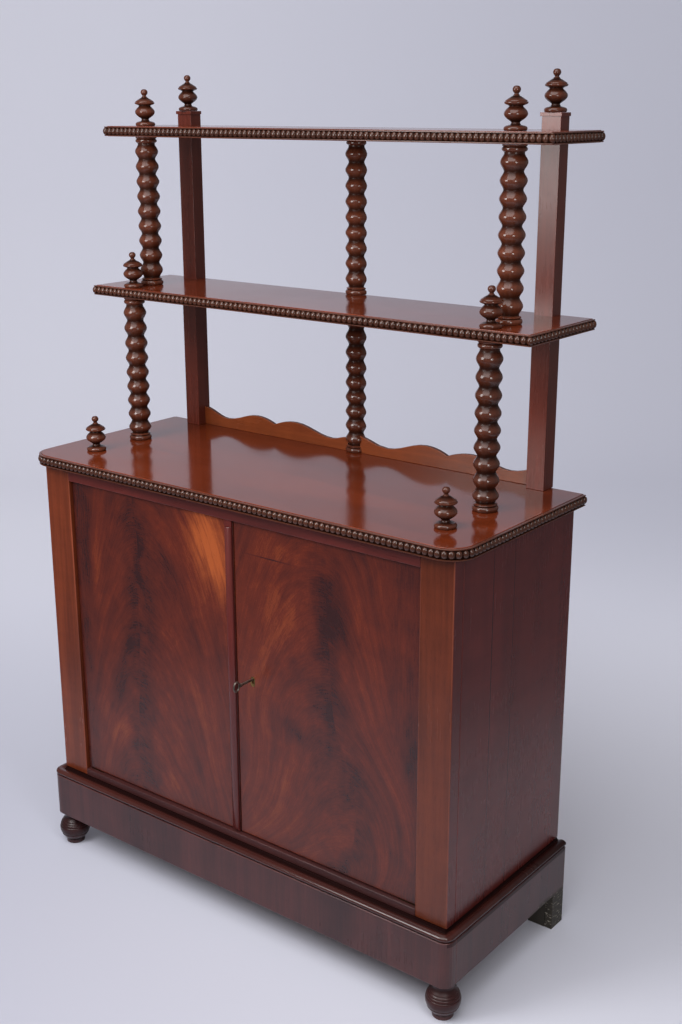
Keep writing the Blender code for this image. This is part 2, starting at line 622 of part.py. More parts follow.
def build_lock(right_door, left_door):
    """Lock let into the back of the right door, with its bolt, keyhole liner and key."""
    edge = RIGHT_DOOR_EDGE
    low = KEY_HEIGHT - LOCK_HEIGHT / 2
    high = KEY_HEIGHT + LOCK_HEIGHT / 2
    pocket = box("lock_pocket", None, (edge - 5 * MM, edge + LOCK_WIDTH + SEAT),
                 (DOOR_BACK - 5 * MM, LOCK_FLOOR + SEAT), (low - SEAT, high + SEAT), collection=CUTTERS)
    hole_radius = KEY_SHANK_RADIUS + 0.8 * MM
    hole_slot = KEY_BIT_THICK + 1.2 * MM
    hole_drop = KEY_BIT_DROP + 1 * MM
    liner_z = KEY_HEIGHT + (LINER_WIDTH - LINER_HEIGHT) / 2
    hole = to_mesh(plate("key_passage", None, keyhole_outline(hole_radius, hole_slot, hole_drop),
                         DOOR_THICK * 2, at(KEY_X, DOOR_FACE, KEY_HEIGHT), UPRIGHT, CUTTERS))
    seat = to_mesh(plate("liner_seat", None, slot_outline(LINER_WIDTH + 2 * SEAT, LINER_HEIGHT + 2 * SEAT),
                         2 * (LINER_THICK + SEAT), at(KEY_X, DOOR_FACE, liner_z), UPRIGHT, CUTTERS))
    cut(right_door, pocket, hole, seat)
    liner = to_mesh(plate("keyhole_liner", BRASS, slot_outline(LINER_WIDTH, LINER_HEIGHT), LINER_THICK,
                          at(KEY_X, DOOR_FACE - LINER_THICK / 2, liner_z), UPRIGHT))
    cut(liner, hole)
    wall = LOCK_WALL
    case = box("lock_case", STEEL, (edge, edge + LOCK_WIDTH), (DOOR_BACK, LOCK_FLOOR), (low, high))
    space = box("lock_space", None, (edge + wall, edge + LOCK_WIDTH - wall),
                (DOOR_BACK + wall, LOCK_FLOOR + 2 * wall), (low + wall, high - wall), collection=CUTTERS)
    bolt_half = LOCK_BOLT_HEIGHT / 2
    thick_half = LOCK_BOLT_THICK / 2
    bolt_gate = box("bolt_gate", None, (edge - wall, edge + 3 * wall),
                    (LOCK_BOLT_DEPTH - thick_half - SEAT, LOCK_FLOOR + 2 * wall),
                    (KEY_HEIGHT - bolt_half - SEAT, KEY_HEIGHT + bolt_half + SEAT), collection=CUTTERS)
    cut(case, space, bolt_gate)
    bolt_back = edge + SEAT + LOCK_BOLT_LENGTH
    box("lock_bolt", BRASS, (edge + SEAT, bolt_back),
        (LOCK_BOLT_DEPTH - thick_half, LOCK_BOLT_DEPTH + thick_half),
        (KEY_HEIGHT - bolt_half, KEY_HEIGHT + bolt_half))
    mortice = box("bolt_mortice", None, (LEFT_DOOR_EDGE - LOCK_BOLT_THROW - RUNNING, LEFT_DOOR_EDGE + wall),
                  (LOCK_BOLT_DEPTH - thick_half - RUNNING, LOCK_BOLT_DEPTH + thick_half + RUNNING),
                  (KEY_HEIGHT - bolt_half - RUNNING, KEY_HEIGHT + bolt_half + RUNNING), collection=CUTTERS)
    cut(left_door, mortice)
    build_key()


def build_key():
    """Key with an open bow, a shank and a bit that turns inside the lock case."""
    tip = DOOR_BACK + LOCK_WALL + 2 * RUNNING
    bow_centre = KEY_FRONT - KEY_BOW_LENGTH / 2
    shank_front = bow_centre - KEY_BOW_LENGTH / 2 + KEY_WIRE_RADIUS
    key = rod("key", STEEL, at(KEY_X, tip, KEY_HEIGHT), at(KEY_X, shank_front, KEY_HEIGHT), KEY_SHANK_RADIUS, 12)
    bpy.ops.mesh.primitive_torus_add(major_segments=16, minor_segments=6, minor_radius=KEY_WIRE_RADIUS,
                                     major_radius=KEY_BOW_LENGTH / 2 - KEY_WIRE_RADIUS,
                                     location=at(KEY_X, bow_centre, KEY_HEIGHT),
                                     rotation=(0, math.radians(90), 0))
    bow = bpy.context.active_object
    bow.name = "key_bow"
    for owner in list(bow.users_collection):
        owner.objects.unlink(bow)
    CUTTERS.objects.link(bow)
    bow.scale = (KEY_BOW_HEIGHT / KEY_BOW_LENGTH, 1.0, 1.0)
    collar = rod("key_collar", STEEL, at(KEY_X, shank_front - 5 * MM, KEY_HEIGHT),
                 at(KEY_X, shank_front - 2 * MM, KEY_HEIGHT), KEY_SHANK_RADIUS * 1.5, 12, CUTTERS)
    half = KEY_BIT_THICK / 2
    bit = box("key_bit", STEEL, (KEY_X - half, KEY_X + half), (tip + RUNNING, LOCK_FLOOR - 2 * RUNNING),
              (KEY_HEIGHT - KEY_BIT_DROP, KEY_HEIGHT), collection=CUTTERS)
    return join(key, bow, collar, bit)


def build_door_bolt(label, end_z, up, rail):
    """Small bolt behind the left door: a plate with two lugs, and a rod that enters the rail."""
    x = LEFT_DOOR_EDGE - DOOR_BOLT_INSET
    plate_front = DOOR_BACK - SEAT
    lug_back = plate_front - DOOR_BOLT_PLATE_THICK
    rod_depth = lug_back - RUNNING - DOOR_BOLT_KNOB_RADIUS
    lug_reach = rod_depth - DOOR_BOLT_RADIUS - 2.5 * MM
    half = DOOR_BOLT_PLATE_WIDTH / 2
    start = end_z - up * 2 * MM
    length = DOOR_BOLT_LENGTH - 4 * MM

    def span(low, high):
        return start - up * low, start - up * high

    base = box(label + "_bolt_plate", BRASS, (x - half, x + half), (plate_front, lug_back), span(0, length))
    lug_half = DOOR_BOLT_LUG / 2
    first = box(label + "_bolt_lug_outer", BRASS, (x - lug_half, x + lug_half),
                (lug_reach, lug_back + DOOR_BOLT_PLATE_THICK / 2), span(0, DOOR_BOLT_LUG), collection=CUTTERS)
    last = box(label + "_bolt_lug_inner", BRASS, (x - lug_half, x + lug_half),
               (lug_reach, lug_back + DOOR_BOLT_PLATE_THICK / 2), span(length - DOOR_BOLT_LUG, length),
               collection=CUTTERS)
    join(base, first, last)
    bore = rod(label + "_bolt_bore", None, at(x, rod_depth, start + up * 5 * MM),
               at(x, rod_depth, start - up * (length + 5 * MM)), DOOR_BOLT_RADIUS + RUNNING, 16, CUTTERS)
    cut(base, bore)
    rod_tip = at(x, rod_depth, end_z)
    bolt = rod(label + "_bolt", STEEL, rod_tip, at(x, rod_depth, end_z - up * DOOR_BOLT_LENGTH),
               DOOR_BOLT_RADIUS, 12)
    middle = start - up * length / 2
    knob = rod(label + "_bolt_knob", STEEL, at(x, rod_depth, middle),
               at(x, rod_depth - DOOR_BOLT_KNOB_REACH, middle), DOOR_BOLT_KNOB_RADIUS, 12, CUTTERS)
    join(bolt, knob)
    rail_face = TOP_RAIL_UNDER if up > 0 else RAIL_TOP
    socket = rod(label + "_bolt_socket", None, at(x, rod_depth, rail_face - up * 2 * MM),
                 at(x, rod_depth, end_z + up * (DOOR_BOLT_THROW + 2 * RUNNING)),
                 DOOR_BOLT_RADIUS + RUNNING, 16, CUTTERS)
    cut(rail, socket)


def build_posts():
    """Back posts, deeper in the lower bay, with square caps; they stand a little behind the flat back."""
    half = POST_WIDTH / 2
    for label, side in (("left", -1), ("right", 1)):
        x = side * POST_X
        post = box(label + "_post", POLISHED, (x - half, x + half), (-POST_BACK_OUT, POST_FRONT),
                   (CABINET_TOP + SEAT, POST_TOP - POST_CAP_THICK / 2))
        foot = box(label + "_post_foot", POLISHED, (x - half, x + half), (-POST_BACK_OUT, POST_FOOT_FRONT),
                   (CABINET_TOP + SEAT, MIDDLE_UNDER - SEAT), collection=CUTTERS)
        cap = box(label + "_post_cap", POLISHED, (x - half - POST_CAP_LIP, x + half + POST_CAP_LIP),
                  (-POST_BACK_OUT, POST_FRONT + POST_CAP_LIP), (POST_TOP - POST_CAP_THICK, POST_TOP),
                  collection=CUTTERS)
        join(post, foot, cap)
        build_finial(label + "_post_finial", x, POST_FINIAL_DEPTH, POST_TOP)


def crest_outline(crest, inner, outer):
    """Crest from the board's inner end out: half waves between peaks and dips, curves into the notch."""
    points = []
    for k, ((start, first), (end, last)) in enumerate(zip(crest, crest[1:])):
        for i in range(7):
            part = i / 6
            rise = (1 - math.cos(math.pi * part)) / 2
            if k == CREST_NOTCH - 1:
                rise = part ** 2
            elif k == CREST_NOTCH:
                rise = 1 - (1 - part) ** 2
            points.append(((start + (end - start) * part) * MM, (first + (last - first) * rise) * MM))
    ends = []
    for x in (inner, outer):
        before = max(p for p in points if p[0] <= x)
        after = min(p for p in points if p[0] > x)
        share = (x - before[0]) / (after[0] - before[0])
        ends.append((x, before[1] + (after[1] - before[1]) * share))
    between = sorted({p for p in points if inner + 1 * MM < p[0] < outer - 1 * MM})
    return [ends[0]] + between + [ends[1]]


def build_gallery():
    """Two shaped boards at the back of the cabinet top, between the half column and the posts."""
    inner = COLUMN_RADIUS + 2 * SEAT
    outer = POST_X - POST_WIDTH / 2 - SEAT
    middle = GALLERY_INSET + GALLERY_THICK / 2
    for label, side, crest in (("left", -1, LEFT_CREST), ("right", 1, RIGHT_CREST)):
        outline = [(inner, SEAT)] + crest_outline(crest, inner, outer) + [(outer, SEAT)]
        plate(label + "_gallery", POLISHED, [(side * x, z) for x, z in outline], GALLERY_THICK,
              at(0, middle, CABINET_TOP), UPRIGHT)


def build_shelves():
    notch = (POST_WIDTH + 2 * SEAT, POST_FRONT + SEAT)
    notches = [(side * POST_X, *notch) for side in (-1, 1)]
    build_shelf("cabinet_top", WIDTH, TOP_DEPTH, TOP_THICK, TOP_CORNER_RADIUS, 8, CARCASE_TOP)
    build_shelf("middle_shelf", WIDTH, MIDDLE_DEPTH, SHELF_THICK, SHELF_CORNER_RADIUS, 2,
                MIDDLE_UNDER, notches)
    build_shelf("top_shelf", UPPER_WIDTH, UPPER_DEPTH, SHELF_THICK, SHELF_CORNER_RADIUS, 2,
                UPPER_UNDER, notches)
    for label, side in (("left", -1), ("right", 1)):
        build_column(label + "_lower_column", side * LOWER_COLUMN_X, LOWER_COLUMN_DEPTH, CABINET_TOP,
                     LOWER_BAY_HEIGHT, LOWER_BOBBIN_GROWTH)
        build_column(label + "_upper_column", side * UPPER_COLUMN_X, UPPER_COLUMN_DEPTH, MIDDLE_TOP,
                     UPPER_BAY_HEIGHT, UPPER_BOBBIN_GROWTH)
        build_finial(label + "_front_finial", side * FRONT_FINIAL_X, FRONT_FINIAL_DEPTH, CABINET_TOP)
        build_finial(label + "_middle_finial", side * LOWER_COLUMN_X, LOWER_COLUMN_DEPTH, MIDDLE_TOP)
        build_finial(label + "_top_finial", side * UPPER_COLUMN_X, UPPER_COLUMN_DEPTH, UPPER_TOP)
    build_half_column("lower_half_column", CABINET_TOP, LOWER_BAY_HEIGHT, LOWER_BOBBIN_GROWTH)
    build_half_column("upper_half_column", MIDDLE_TOP, UPPER_BAY_HEIGHT, UPPER_BOBBIN_GROWTH)
    build_posts()
    build_gallery()


def main():
    build_plinth()
    top_rail, bottom_rail = build_carcase()
    left_door = build_door("left", -1, -DOOR_OUTER, LEFT_DOOR_EDGE)
    right_door = build_door("right", 1, RIGHT_DOOR_EDGE, DOOR_OUTER)
    build_closing_bead(left_door)
    build_lock(right_door, left_door)
    build_door_bolt("top", DOOR_TOP, 1, top_rail)
    build_door_bolt("bottom", DOOR_BOTTOM, -1, bottom_rail)
    build_shelves()
    bpy.context.view_layer.update()


main()
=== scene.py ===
import math
from functools import partial

import bmesh
import bpy
from bpy.props import FloatProperty, FloatVectorProperty, IntProperty, PointerProperty
from mathutils import Matrix, Vector


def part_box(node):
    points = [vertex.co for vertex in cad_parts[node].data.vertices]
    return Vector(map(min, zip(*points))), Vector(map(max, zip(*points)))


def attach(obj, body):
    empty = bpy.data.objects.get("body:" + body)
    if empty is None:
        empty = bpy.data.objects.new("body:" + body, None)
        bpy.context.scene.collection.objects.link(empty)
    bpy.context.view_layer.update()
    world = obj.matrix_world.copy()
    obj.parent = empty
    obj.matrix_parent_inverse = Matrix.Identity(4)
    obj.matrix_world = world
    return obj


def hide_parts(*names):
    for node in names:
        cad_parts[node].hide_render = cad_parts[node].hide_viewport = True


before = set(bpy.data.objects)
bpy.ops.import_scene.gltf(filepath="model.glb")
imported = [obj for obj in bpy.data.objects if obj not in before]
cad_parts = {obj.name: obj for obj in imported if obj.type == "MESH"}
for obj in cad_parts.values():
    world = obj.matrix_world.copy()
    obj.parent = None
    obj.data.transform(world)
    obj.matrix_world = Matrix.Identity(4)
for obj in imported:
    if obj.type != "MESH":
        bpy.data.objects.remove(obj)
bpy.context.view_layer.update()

bl_info = {
    "name": "Mahogany etagere",
    "version": (1, 0, 0),
    "blender": (4, 5, 0),
    "location": "View3D > Sidebar > Etagere",
    "description": "Dresses the etagere's frame with turned, moulded and veneered pieces",
    "category": "Object",
}

MM = 0.001


def screen_tone(tone):
    """Linear colour of an 8-bit screen tone."""
    return tuple(c / 255 / 12.92 if c <= 10 else ((c / 255 + 0.055) / 1.055) ** 2.4 for c in tone)


def colour_setting(name, description, tone):
    return FloatVectorProperty(name=name, description=description, subtype="COLOR", size=3, min=0.0, max=1.0,
                               default=screen_tone(tone))


def grain_setting(depth, wood, *tone):
    return colour_setting(f"{wood.capitalize()}, {depth}", f"{depth.capitalize()} tone of the {wood}", tone)


def length_setting(name, description, millimetres):
    return FloatProperty(name=name, description=description, unit="LENGTH", subtype="DISTANCE", min=0.0,
                         default=millimetres * MM)


def angle_setting(name, description, degrees):
    return FloatProperty(name=name, description=description, subtype="ANGLE", default=math.radians(degrees))


def power_setting(name, description, watts):
    return FloatProperty(name=name, description=description, subtype="POWER", default=watts)


# --- settings

class EtagereTurning(bpy.types.PropertyGroup):
    """Sizes of the columns, finials and feet."""
    steps: IntProperty(name="Steps round", description="Faces round a turned piece", default=40,
                       min=12, max=96)
    bobbin_radius: length_setting("Bobbin radius", "Largest radius of a column's bobbins", 22.7)
    bobbins: IntProperty(name="Bobbins", description="Bobbins on each column", default=9, min=2, max=20)
    lowest_bobbin: length_setting("Lowest bobbin", "Height of a lower column's lowest bobbin", 25.4)
    lower_spacing: length_setting("Lower spacing", "Space between a lower column's lowest two bobbins", 27.6)
    lower_widening: length_setting("Spacing growth", "Growth of a lower column's spacing per bobbin", 0.48)
    upper_first: length_setting("Upper first bobbin", "Height of an upper column's lowest bobbin", 29.3)
    upper_spacing: length_setting("Upper spacing", "Distance between the bobbins of an upper column", 28.8)
    finial_radius: length_setting("Finial radius", "Radius of a finial's foot", 19.3)
    foot_radius: length_setting("Foot radius", "Largest radius of a front foot", 32.0)


class EtagereMouldings(bpy.types.PropertyGroup):
    """Sizes of the beaded edges and of the plinth moulding."""
    bead_pitch: length_setting("Bead pitch", "Distance from bead to bead", 11.5)
    bead_height: length_setting("Bead height", "Height of one bead", 14.6)
    bead_depth: length_setting("Bead depth", "How far a bead stands out of its band", 5.4)
    band_thick: length_setting("Band thickness", "Thickness of the beaded band", 7.0)
    fillet: length_setting("Fillet", "Height of the flat strip above and below the beads", 1.8)


class EtagereBoards(bpy.types.PropertyGroup):
    """How far the edges of the boards are rounded."""
    arris: length_setting("Arris", "Rounding of the edges of rails, panels and doors", 1.0)
    pilaster_arris: length_setting("Pilaster arris", "Rounding of the pilasters' outer edges", 1.8)
    post_arris: length_setting("Post arris", "Rounding of the back posts' edges", 0.5)


class EtagereFinish(bpy.types.PropertyGroup):
    """Colours of the woods and metals."""
    top_dark: grain_setting("dark", "polished tops", 76, 29, 16)
    top_light: grain_setting("light", "polished tops", 130, 54, 26)
    front_dark: grain_setting("dark", "pilasters", 70, 28, 17)
    front_light: grain_setting("light", "pilasters", 132, 60, 32)
    side_dark: grain_setting("dark", "sides and top rail", 62, 24, 24)
    side_light: grain_setting("light", "sides and top rail", 112, 44, 38)
    post_dark: grain_setting("dark", "back posts", 70, 28, 22)
    post_light: grain_setting("light", "back posts", 128, 56, 40)
    flame_dark: grain_setting("dark", "flame veneer", 50, 22, 22)
    flame_middle: grain_setting("middle", "flame veneer", 98, 38, 24)
    flame_light: grain_setting("light", "flame veneer", 166, 82, 40)
    turned_dark: grain_setting("dark", "turned pieces", 43, 22, 17)
    turned_light: grain_setting("light", "turned pieces", 120, 63, 43)
    plinth_dark: grain_setting("dark", "plinth and feet", 36, 20, 23)
    plinth_light: grain_setting("light", "plinth and feet", 88, 45, 42)
    torus_dark: grain_setting("dark", "plinth moulding", 46, 22, 22)
    torus_light: grain_setting("light", "plinth moulding", 84, 40, 33)
    bead_dark: grain_setting("dark", "beaded edges", 42, 23, 17)
    bead_light: grain_setting("light", "beaded edges", 98, 55, 38)
    raw_wood: colour_setting("Raw wood", "Worn wood of the rear feet", (66, 60, 50))
    gallery_light: grain_setting("light", "gallery", 150, 74, 36)
    pine: colour_setting("Inside wood", "Plain wood inside and at the back", (176, 132, 88))
    brass: colour_setting("Brass", "Old brass fittings", (168, 138, 84))
    steel: colour_setting("Steel", "Key, lock and bolts", (150, 142, 132))


class EtagereStage(bpy.types.PropertyGroup):
    """Camera, floor and lamps."""
    camera_place: FloatVectorProperty(name="Camera place", description="Where the camera stands",
                                      subtype="XYZ", unit="LENGTH", default=(1.56698, -1.8470, 1.5317))
    camera_turn: angle_setting("Camera turn", "Turn of the view from straight ahead", 37.9946)
    camera_dip: angle_setting("Camera dip", "How far the view looks down", 17.0179)
    camera_roll: angle_setting("Camera roll", "Roll of the view", -0.1388)
    lens: FloatProperty(name="Lens", description="Focal length for a frame 36 mm high",
                        subtype="DISTANCE_CAMERA", default=47.207)
    floor_tone: colour_setting("Floor", "Paper under and behind the piece", (223, 223, 235))
    key_power: power_setting("Key lamp", "Power of the lamp at the front", 14.0)
    fill_power: power_setting("Fill lamp", "Power of the lamp at the side", 5.5)
    overhead_power: power_setting("Overhead lamp", "Power of the large lamp above the front", 108.0)
    sky: FloatProperty(name="Room light", description="Strength of the light from all round", default=0.22)


SETTINGS = {"etagere_turning": EtagereTurning, "etagere_mouldings": EtagereMouldings,
            "etagere_boards": EtagereBoards, "etagere_finish": EtagereFinish, "etagere_stage": EtagereStage}


# --- mesh work

SMOOTH_BELOW = math.radians(38.0)
BEVEL_ANGLES = (math.radians(60), math.radians(120))
FLAT_BELOW = math.radians(0.4)
WELD = 0.02 * MM
ON_BOX = 0.05 * MM
MITRE = 0.001 * MM


def soften_shading(bm):
    """Smooth faces, with hard edges where the surface turns sharply."""
    for face in bm.faces:
        face.smooth = True
    for edge in bm.edges:
        if len(edge.link_faces) == 2:
            edge.smooth = edge.calc_face_angle(0.0) < SMOOTH_BELOW


def mesh_of(name, bm, materials):
    """Turn the bmesh into a mesh with these materials."""
    mesh = bpy.data.meshes.new(name)
    bm.to_mesh(mesh)
    bm.free()
    for material in materials:
        mesh.materials.append(material)
    return mesh


def add_object(name, data):
    """New object at the origin, linked to the scene."""
    added = bpy.data.objects.new(name, data)
    bpy.context.scene.collection.objects.link(added)
    return added


def place_piece(name, bm, finishes, slot, *nodes, body="cabinet"):
    """Make the finished object at the origin, tie it to its body and let it stand for its nodes."""
    piece = add_object(name, mesh_of(name, bm, [finish_named(finish) for finish in finishes]))
    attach(piece, body)
    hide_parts(*nodes)


def turned_shape(profile, steps, x, y, z, half=False):
    """Spin a profile of (radius, height, hollow) round the upright axis; half keeps the front half."""
    bm = bmesh.new()
    hollow = bm.verts.layers.float.new("hollow")
    count = steps // 2 + 1 if half else steps
    rings = []
    for radius, height, depth in profile:
        ring = []
        for i in range(count if radius > 1e-6 else 1):
            angle = math.pi + math.pi * i / (count - 1) if half else 2 * math.pi * i / count
            vert = bm.verts.new((x + radius * math.cos(angle), y + radius * math.sin(angle), z + height))
            vert[hollow] = depth
            ring.append(vert)
        rings.append(ring)
    for low, high in zip(rings, rings[1:]):
        # The last face, back to the first corner, closes the circle or a half turning's flat back.
        for i in range(count):
            j = (i + 1) % count
            corners = [low[i % len(low)], low[j % len(low)], high[j % len(high)], high[i % len(high)]]
            bm.faces.new(list(dict.fromkeys(corners)))
    bmesh.ops.recalc_face_normals(bm, faces=bm.faces)
    soften_shading(bm)
    return bm


def softened_copy(node, amount, steps=2, outer_only=False):
    """Weld a copy of a CAD node and round its edges; the rounded faces carry the mark arris."""
    bm = bmesh.new()
    bm.from_mesh(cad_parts[node].data)
    bmesh.ops.remove_doubles(bm, verts=bm.verts, dist=WELD)
    bmesh.ops.dissolve_limit(bm, angle_limit=FLAT_BELOW, verts=bm.verts, edges=bm.edges)
    arris = bm.faces.layers.float.new("arris")
    low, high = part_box(node)

    def on_faces(vert):
        return sum(min(abs(vert.co[i] - low[i]), abs(vert.co[i] - high[i])) < ON_BOX for i in range(3))

    edges = [e for e in bm.edges if len(e.link_faces) == 2 and e.is_convex
             and BEVEL_ANGLES[0] < e.calc_face_angle(0.0) < BEVEL_ANGLES[1]
             and (not outer_only or all(on_faces(v) >= 2 for v in e.verts))]
    made = bmesh.ops.bevel(bm, geom=edges, offset=amount, segments=steps, profile=0.5, affect="EDGES",
                           clamp_overlap=True)
    rounded = set(made["faces"])
    for face in bm.faces:
        face.smooth = face in rounded
        face[arris] = float(face in rounded)
    return bm


def arc(x, y, radius, start, end, steps):
    """Points on an arc, angles in degrees."""
    angles = [math.radians(start + (end - start) * i / steps) for i in range(steps + 1)]
    return [Vector((x + radius * math.cos(a), y + radius * math.sin(a))) for a in angles]


def edge_path(node, radius, steps, inset=0.0):
    """Path round the left, front and right side of a node; an inset deeper than the radius is mitred."""
    low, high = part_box(node)
    left, right, front, back = low.x + inset, high.x - inset, low.y + inset, high.y
    radius = max(radius - inset, 0.0)
    path = [Vector((left, back))]
    path += arc(left + radius, front + radius, radius, 180, 270, steps)
    path += arc(right - radius, front + radius, radius, 270, 360, steps)
    return path + [Vector((right, back))]


def run_round(node, radius, steps, section):
    """Run a section of (outwards, height, hollow) round three sides of a node and its rounded corners."""
    bm = bmesh.new()
    hollow = bm.verts.layers.float.new("hollow")
    lines = []
    for outwards, height, depth in section:
        line = [bm.verts.new((p.x, p.y, height)) for p in edge_path(node, radius, steps, -outwards)]
        for vert in line:
            vert[hollow] = depth
        lines.append(line)
    for first, second in zip(lines, lines[1:] + lines[:1]):
        for k in range(len(first) - 1):
            bm.faces.new((first[k], first[k + 1], second[k + 1], second[k]))
    bm.faces.new([line[0] for line in lines])
    bm.faces.new([line[-1] for line in lines])
    bmesh.ops.remove_doubles(bm, verts=bm.verts, dist=MITRE)
    bmesh.ops.recalc_face_normals(bm, faces=bm.faces)
    soften_shading(bm)
    return bm


def darken_faces(bm, amount, test):
    """Mark the faces that pass the test as dark."""
    hollow = bm.faces.layers.float.new("hollow")
    for face in bm.faces:
        if test(face.calc_center_median(), face.normal):
            face[hollow] = amount


# --- shader work

def scaled(tone, share):
    """The tone with every channel multiplied by the share."""
    return tuple(c * share for c in tone)


def wood_tone(key, share=1.0):
    """Colour of that name in the panel's settings, multiplied by the share."""
    return scaled(getattr(bpy.context.scene.etagere_finish, key), share)


def feed(tree, socket, value):
    """Join an input to a socket, or set it to a value; a colour of three gets its fourth channel."""
    if isinstance(value, bpy.types.NodeSocket):
        tree.links.new(value, socket)
    elif socket.type == "RGBA":
        socket.default_value = (*value[:3], 1.0)
    else:
        socket.default_value = value


def add_node(tree, kind, feeds=None, **settings):
    """Add a node beside the last, set it up, feed its inputs by name or number, and return its outputs."""
    row, column = divmod(len(tree.nodes), 9)
    node = tree.nodes.new(kind)
    node.location = (190 * column, -260 * row)
    for key, value in settings.items():
        setattr(node, key, value)
    for key, value in (feeds or {}).items():
        feed(tree, node.inputs[key], value)
    return node.outputs


class Bench:
    """A material in the making: adds shader nodes and joins them."""

    def __init__(self, name):
        self.material = bpy.data.materials.new(name)
        self.material.use_nodes = True
        tree = self.material.node_tree
        self.add = partial(add_node, tree)
        tree.nodes["Principled BSDF"].location = (1800, 0)
        tree.nodes["Material Output"].location = (2100, 0)
        self.place = self.add("ShaderNodeTexCoord")["Object"]

    def give(self, label, value):
        """Feed an input of the surface shader."""
        tree = self.material.node_tree
        feed(tree, tree.nodes["Principled BSDF"].inputs[label], value)

    def calc(self, operation, *values, clamp=False):
        return self.add("ShaderNodeMath", dict(enumerate(values)), operation=operation, use_clamp=clamp)[0]

    def times(self, first, second):
        return self.calc("MULTIPLY", first, second)

    def times_plus(self, first, second, third):
        return self.calc("MULTIPLY_ADD", first, second, third)

    def minus(self, first, second):
        return self.calc("SUBTRACT", first, second)

    def over(self, first, second):
        return self.calc("DIVIDE", first, second)

    def square(self, value):
        return self.calc("POWER", value, 2.0)

    def bell(self, squared, steepness):
        """Bell curve of a squared distance."""
        return self.calc("POWER", 2.718, self.times(squared, -steepness))

    def mix(self, factor, first, second):
        """Mix two colours."""
        return self.add("ShaderNodeMix", {0: factor, 6: first, 7: second}, data_type="RGBA")[2]

    def blend(self, factor, first, second):
        """Mix two numbers."""
        return self.add("ShaderNodeMix", {0: factor, 2: first, 3: second}, data_type="FLOAT")[0]

    def ramp(self, factor, *stops):
        colour = self.add("ShaderNodeValToRGB", {0: factor})[0]
        points = colour.node.color_ramp.elements
        while len(points) < len(stops):
            points.new(0.5)
        for point, (place, tone) in zip(points, stops):
            point.position = place
            point.color = (*tone, 1.0)
        return colour

    def between(self, value, low, high, start=0.0, end=1.0):
        """Smooth step from start to end as value goes from low to high."""
        feeds = dict(enumerate((value, low, high, start, end)))
        return self.add("ShaderNodeMapRange", feeds, interpolation_type="SMOOTHSTEP")[0]

    def split(self, vector):
        return self.add("ShaderNodeSeparateXYZ", {0: vector})

    def vector(self, *values):
        return self.add("ShaderNodeCombineXYZ", dict(enumerate(values)))[0]

    def noise(self, stretch, detail=2.0, rough=0.5, shift=(0.0, 0.0, 0.0), warp=0.0, place=None):
        """Noise stretched by three scales, as a number round 0.5."""
        feeds = {"Vector": place or self.place, "Scale": stretch, "Location": shift}
        feeds = {"Vector": self.add("ShaderNodeMapping", feeds)[0], "Scale": 1.0, "Detail": detail,
                 "Roughness": rough, "Distortion": warp}
        return self.add("ShaderNodeTexNoise", feeds)[0]

    def mark(self, name):
        """Float attribute of the mesh, 0 where the mesh has none."""
        return self.add("ShaderNodeAttribute", attribute_type="GEOMETRY", attribute_name=name)["Fac"]

    def finish(self, colour, rough, height=None, relief=0.0, strength=0.0):
        self.give("Base Color", colour)
        self.give("Roughness", rough)
        if height is not None:
            feeds = {"Strength": strength, "Distance": relief, "Height": height}
            self.give("Normal", self.add("ShaderNodeBump", feeds)[0])
        return self.material


def grain_stretch(along, length, across):
    """Scales that run long the grain on one axis and short across it."""
    return tuple(length if axis == along else across for axis in "xyz")


CLOUD_SHARE = 0.6                    # share of the slow clouds in the tone
PORES_OPEN = (0.56, 0.70)            # noise from which a pore begins and is fully open
JOINT_WIDTHS = (0.3 * MM, 1.8 * MM)  # half widths of a glued joint's line and of its soft edge
BARE_BELOW = (84 * MM, 98 * MM)      # the rear feet are bare below and behind these
BARE_BEHIND = (60 * MM, 90 * MM)
SPLINTERS = (0.5, 0.45, 0.36)


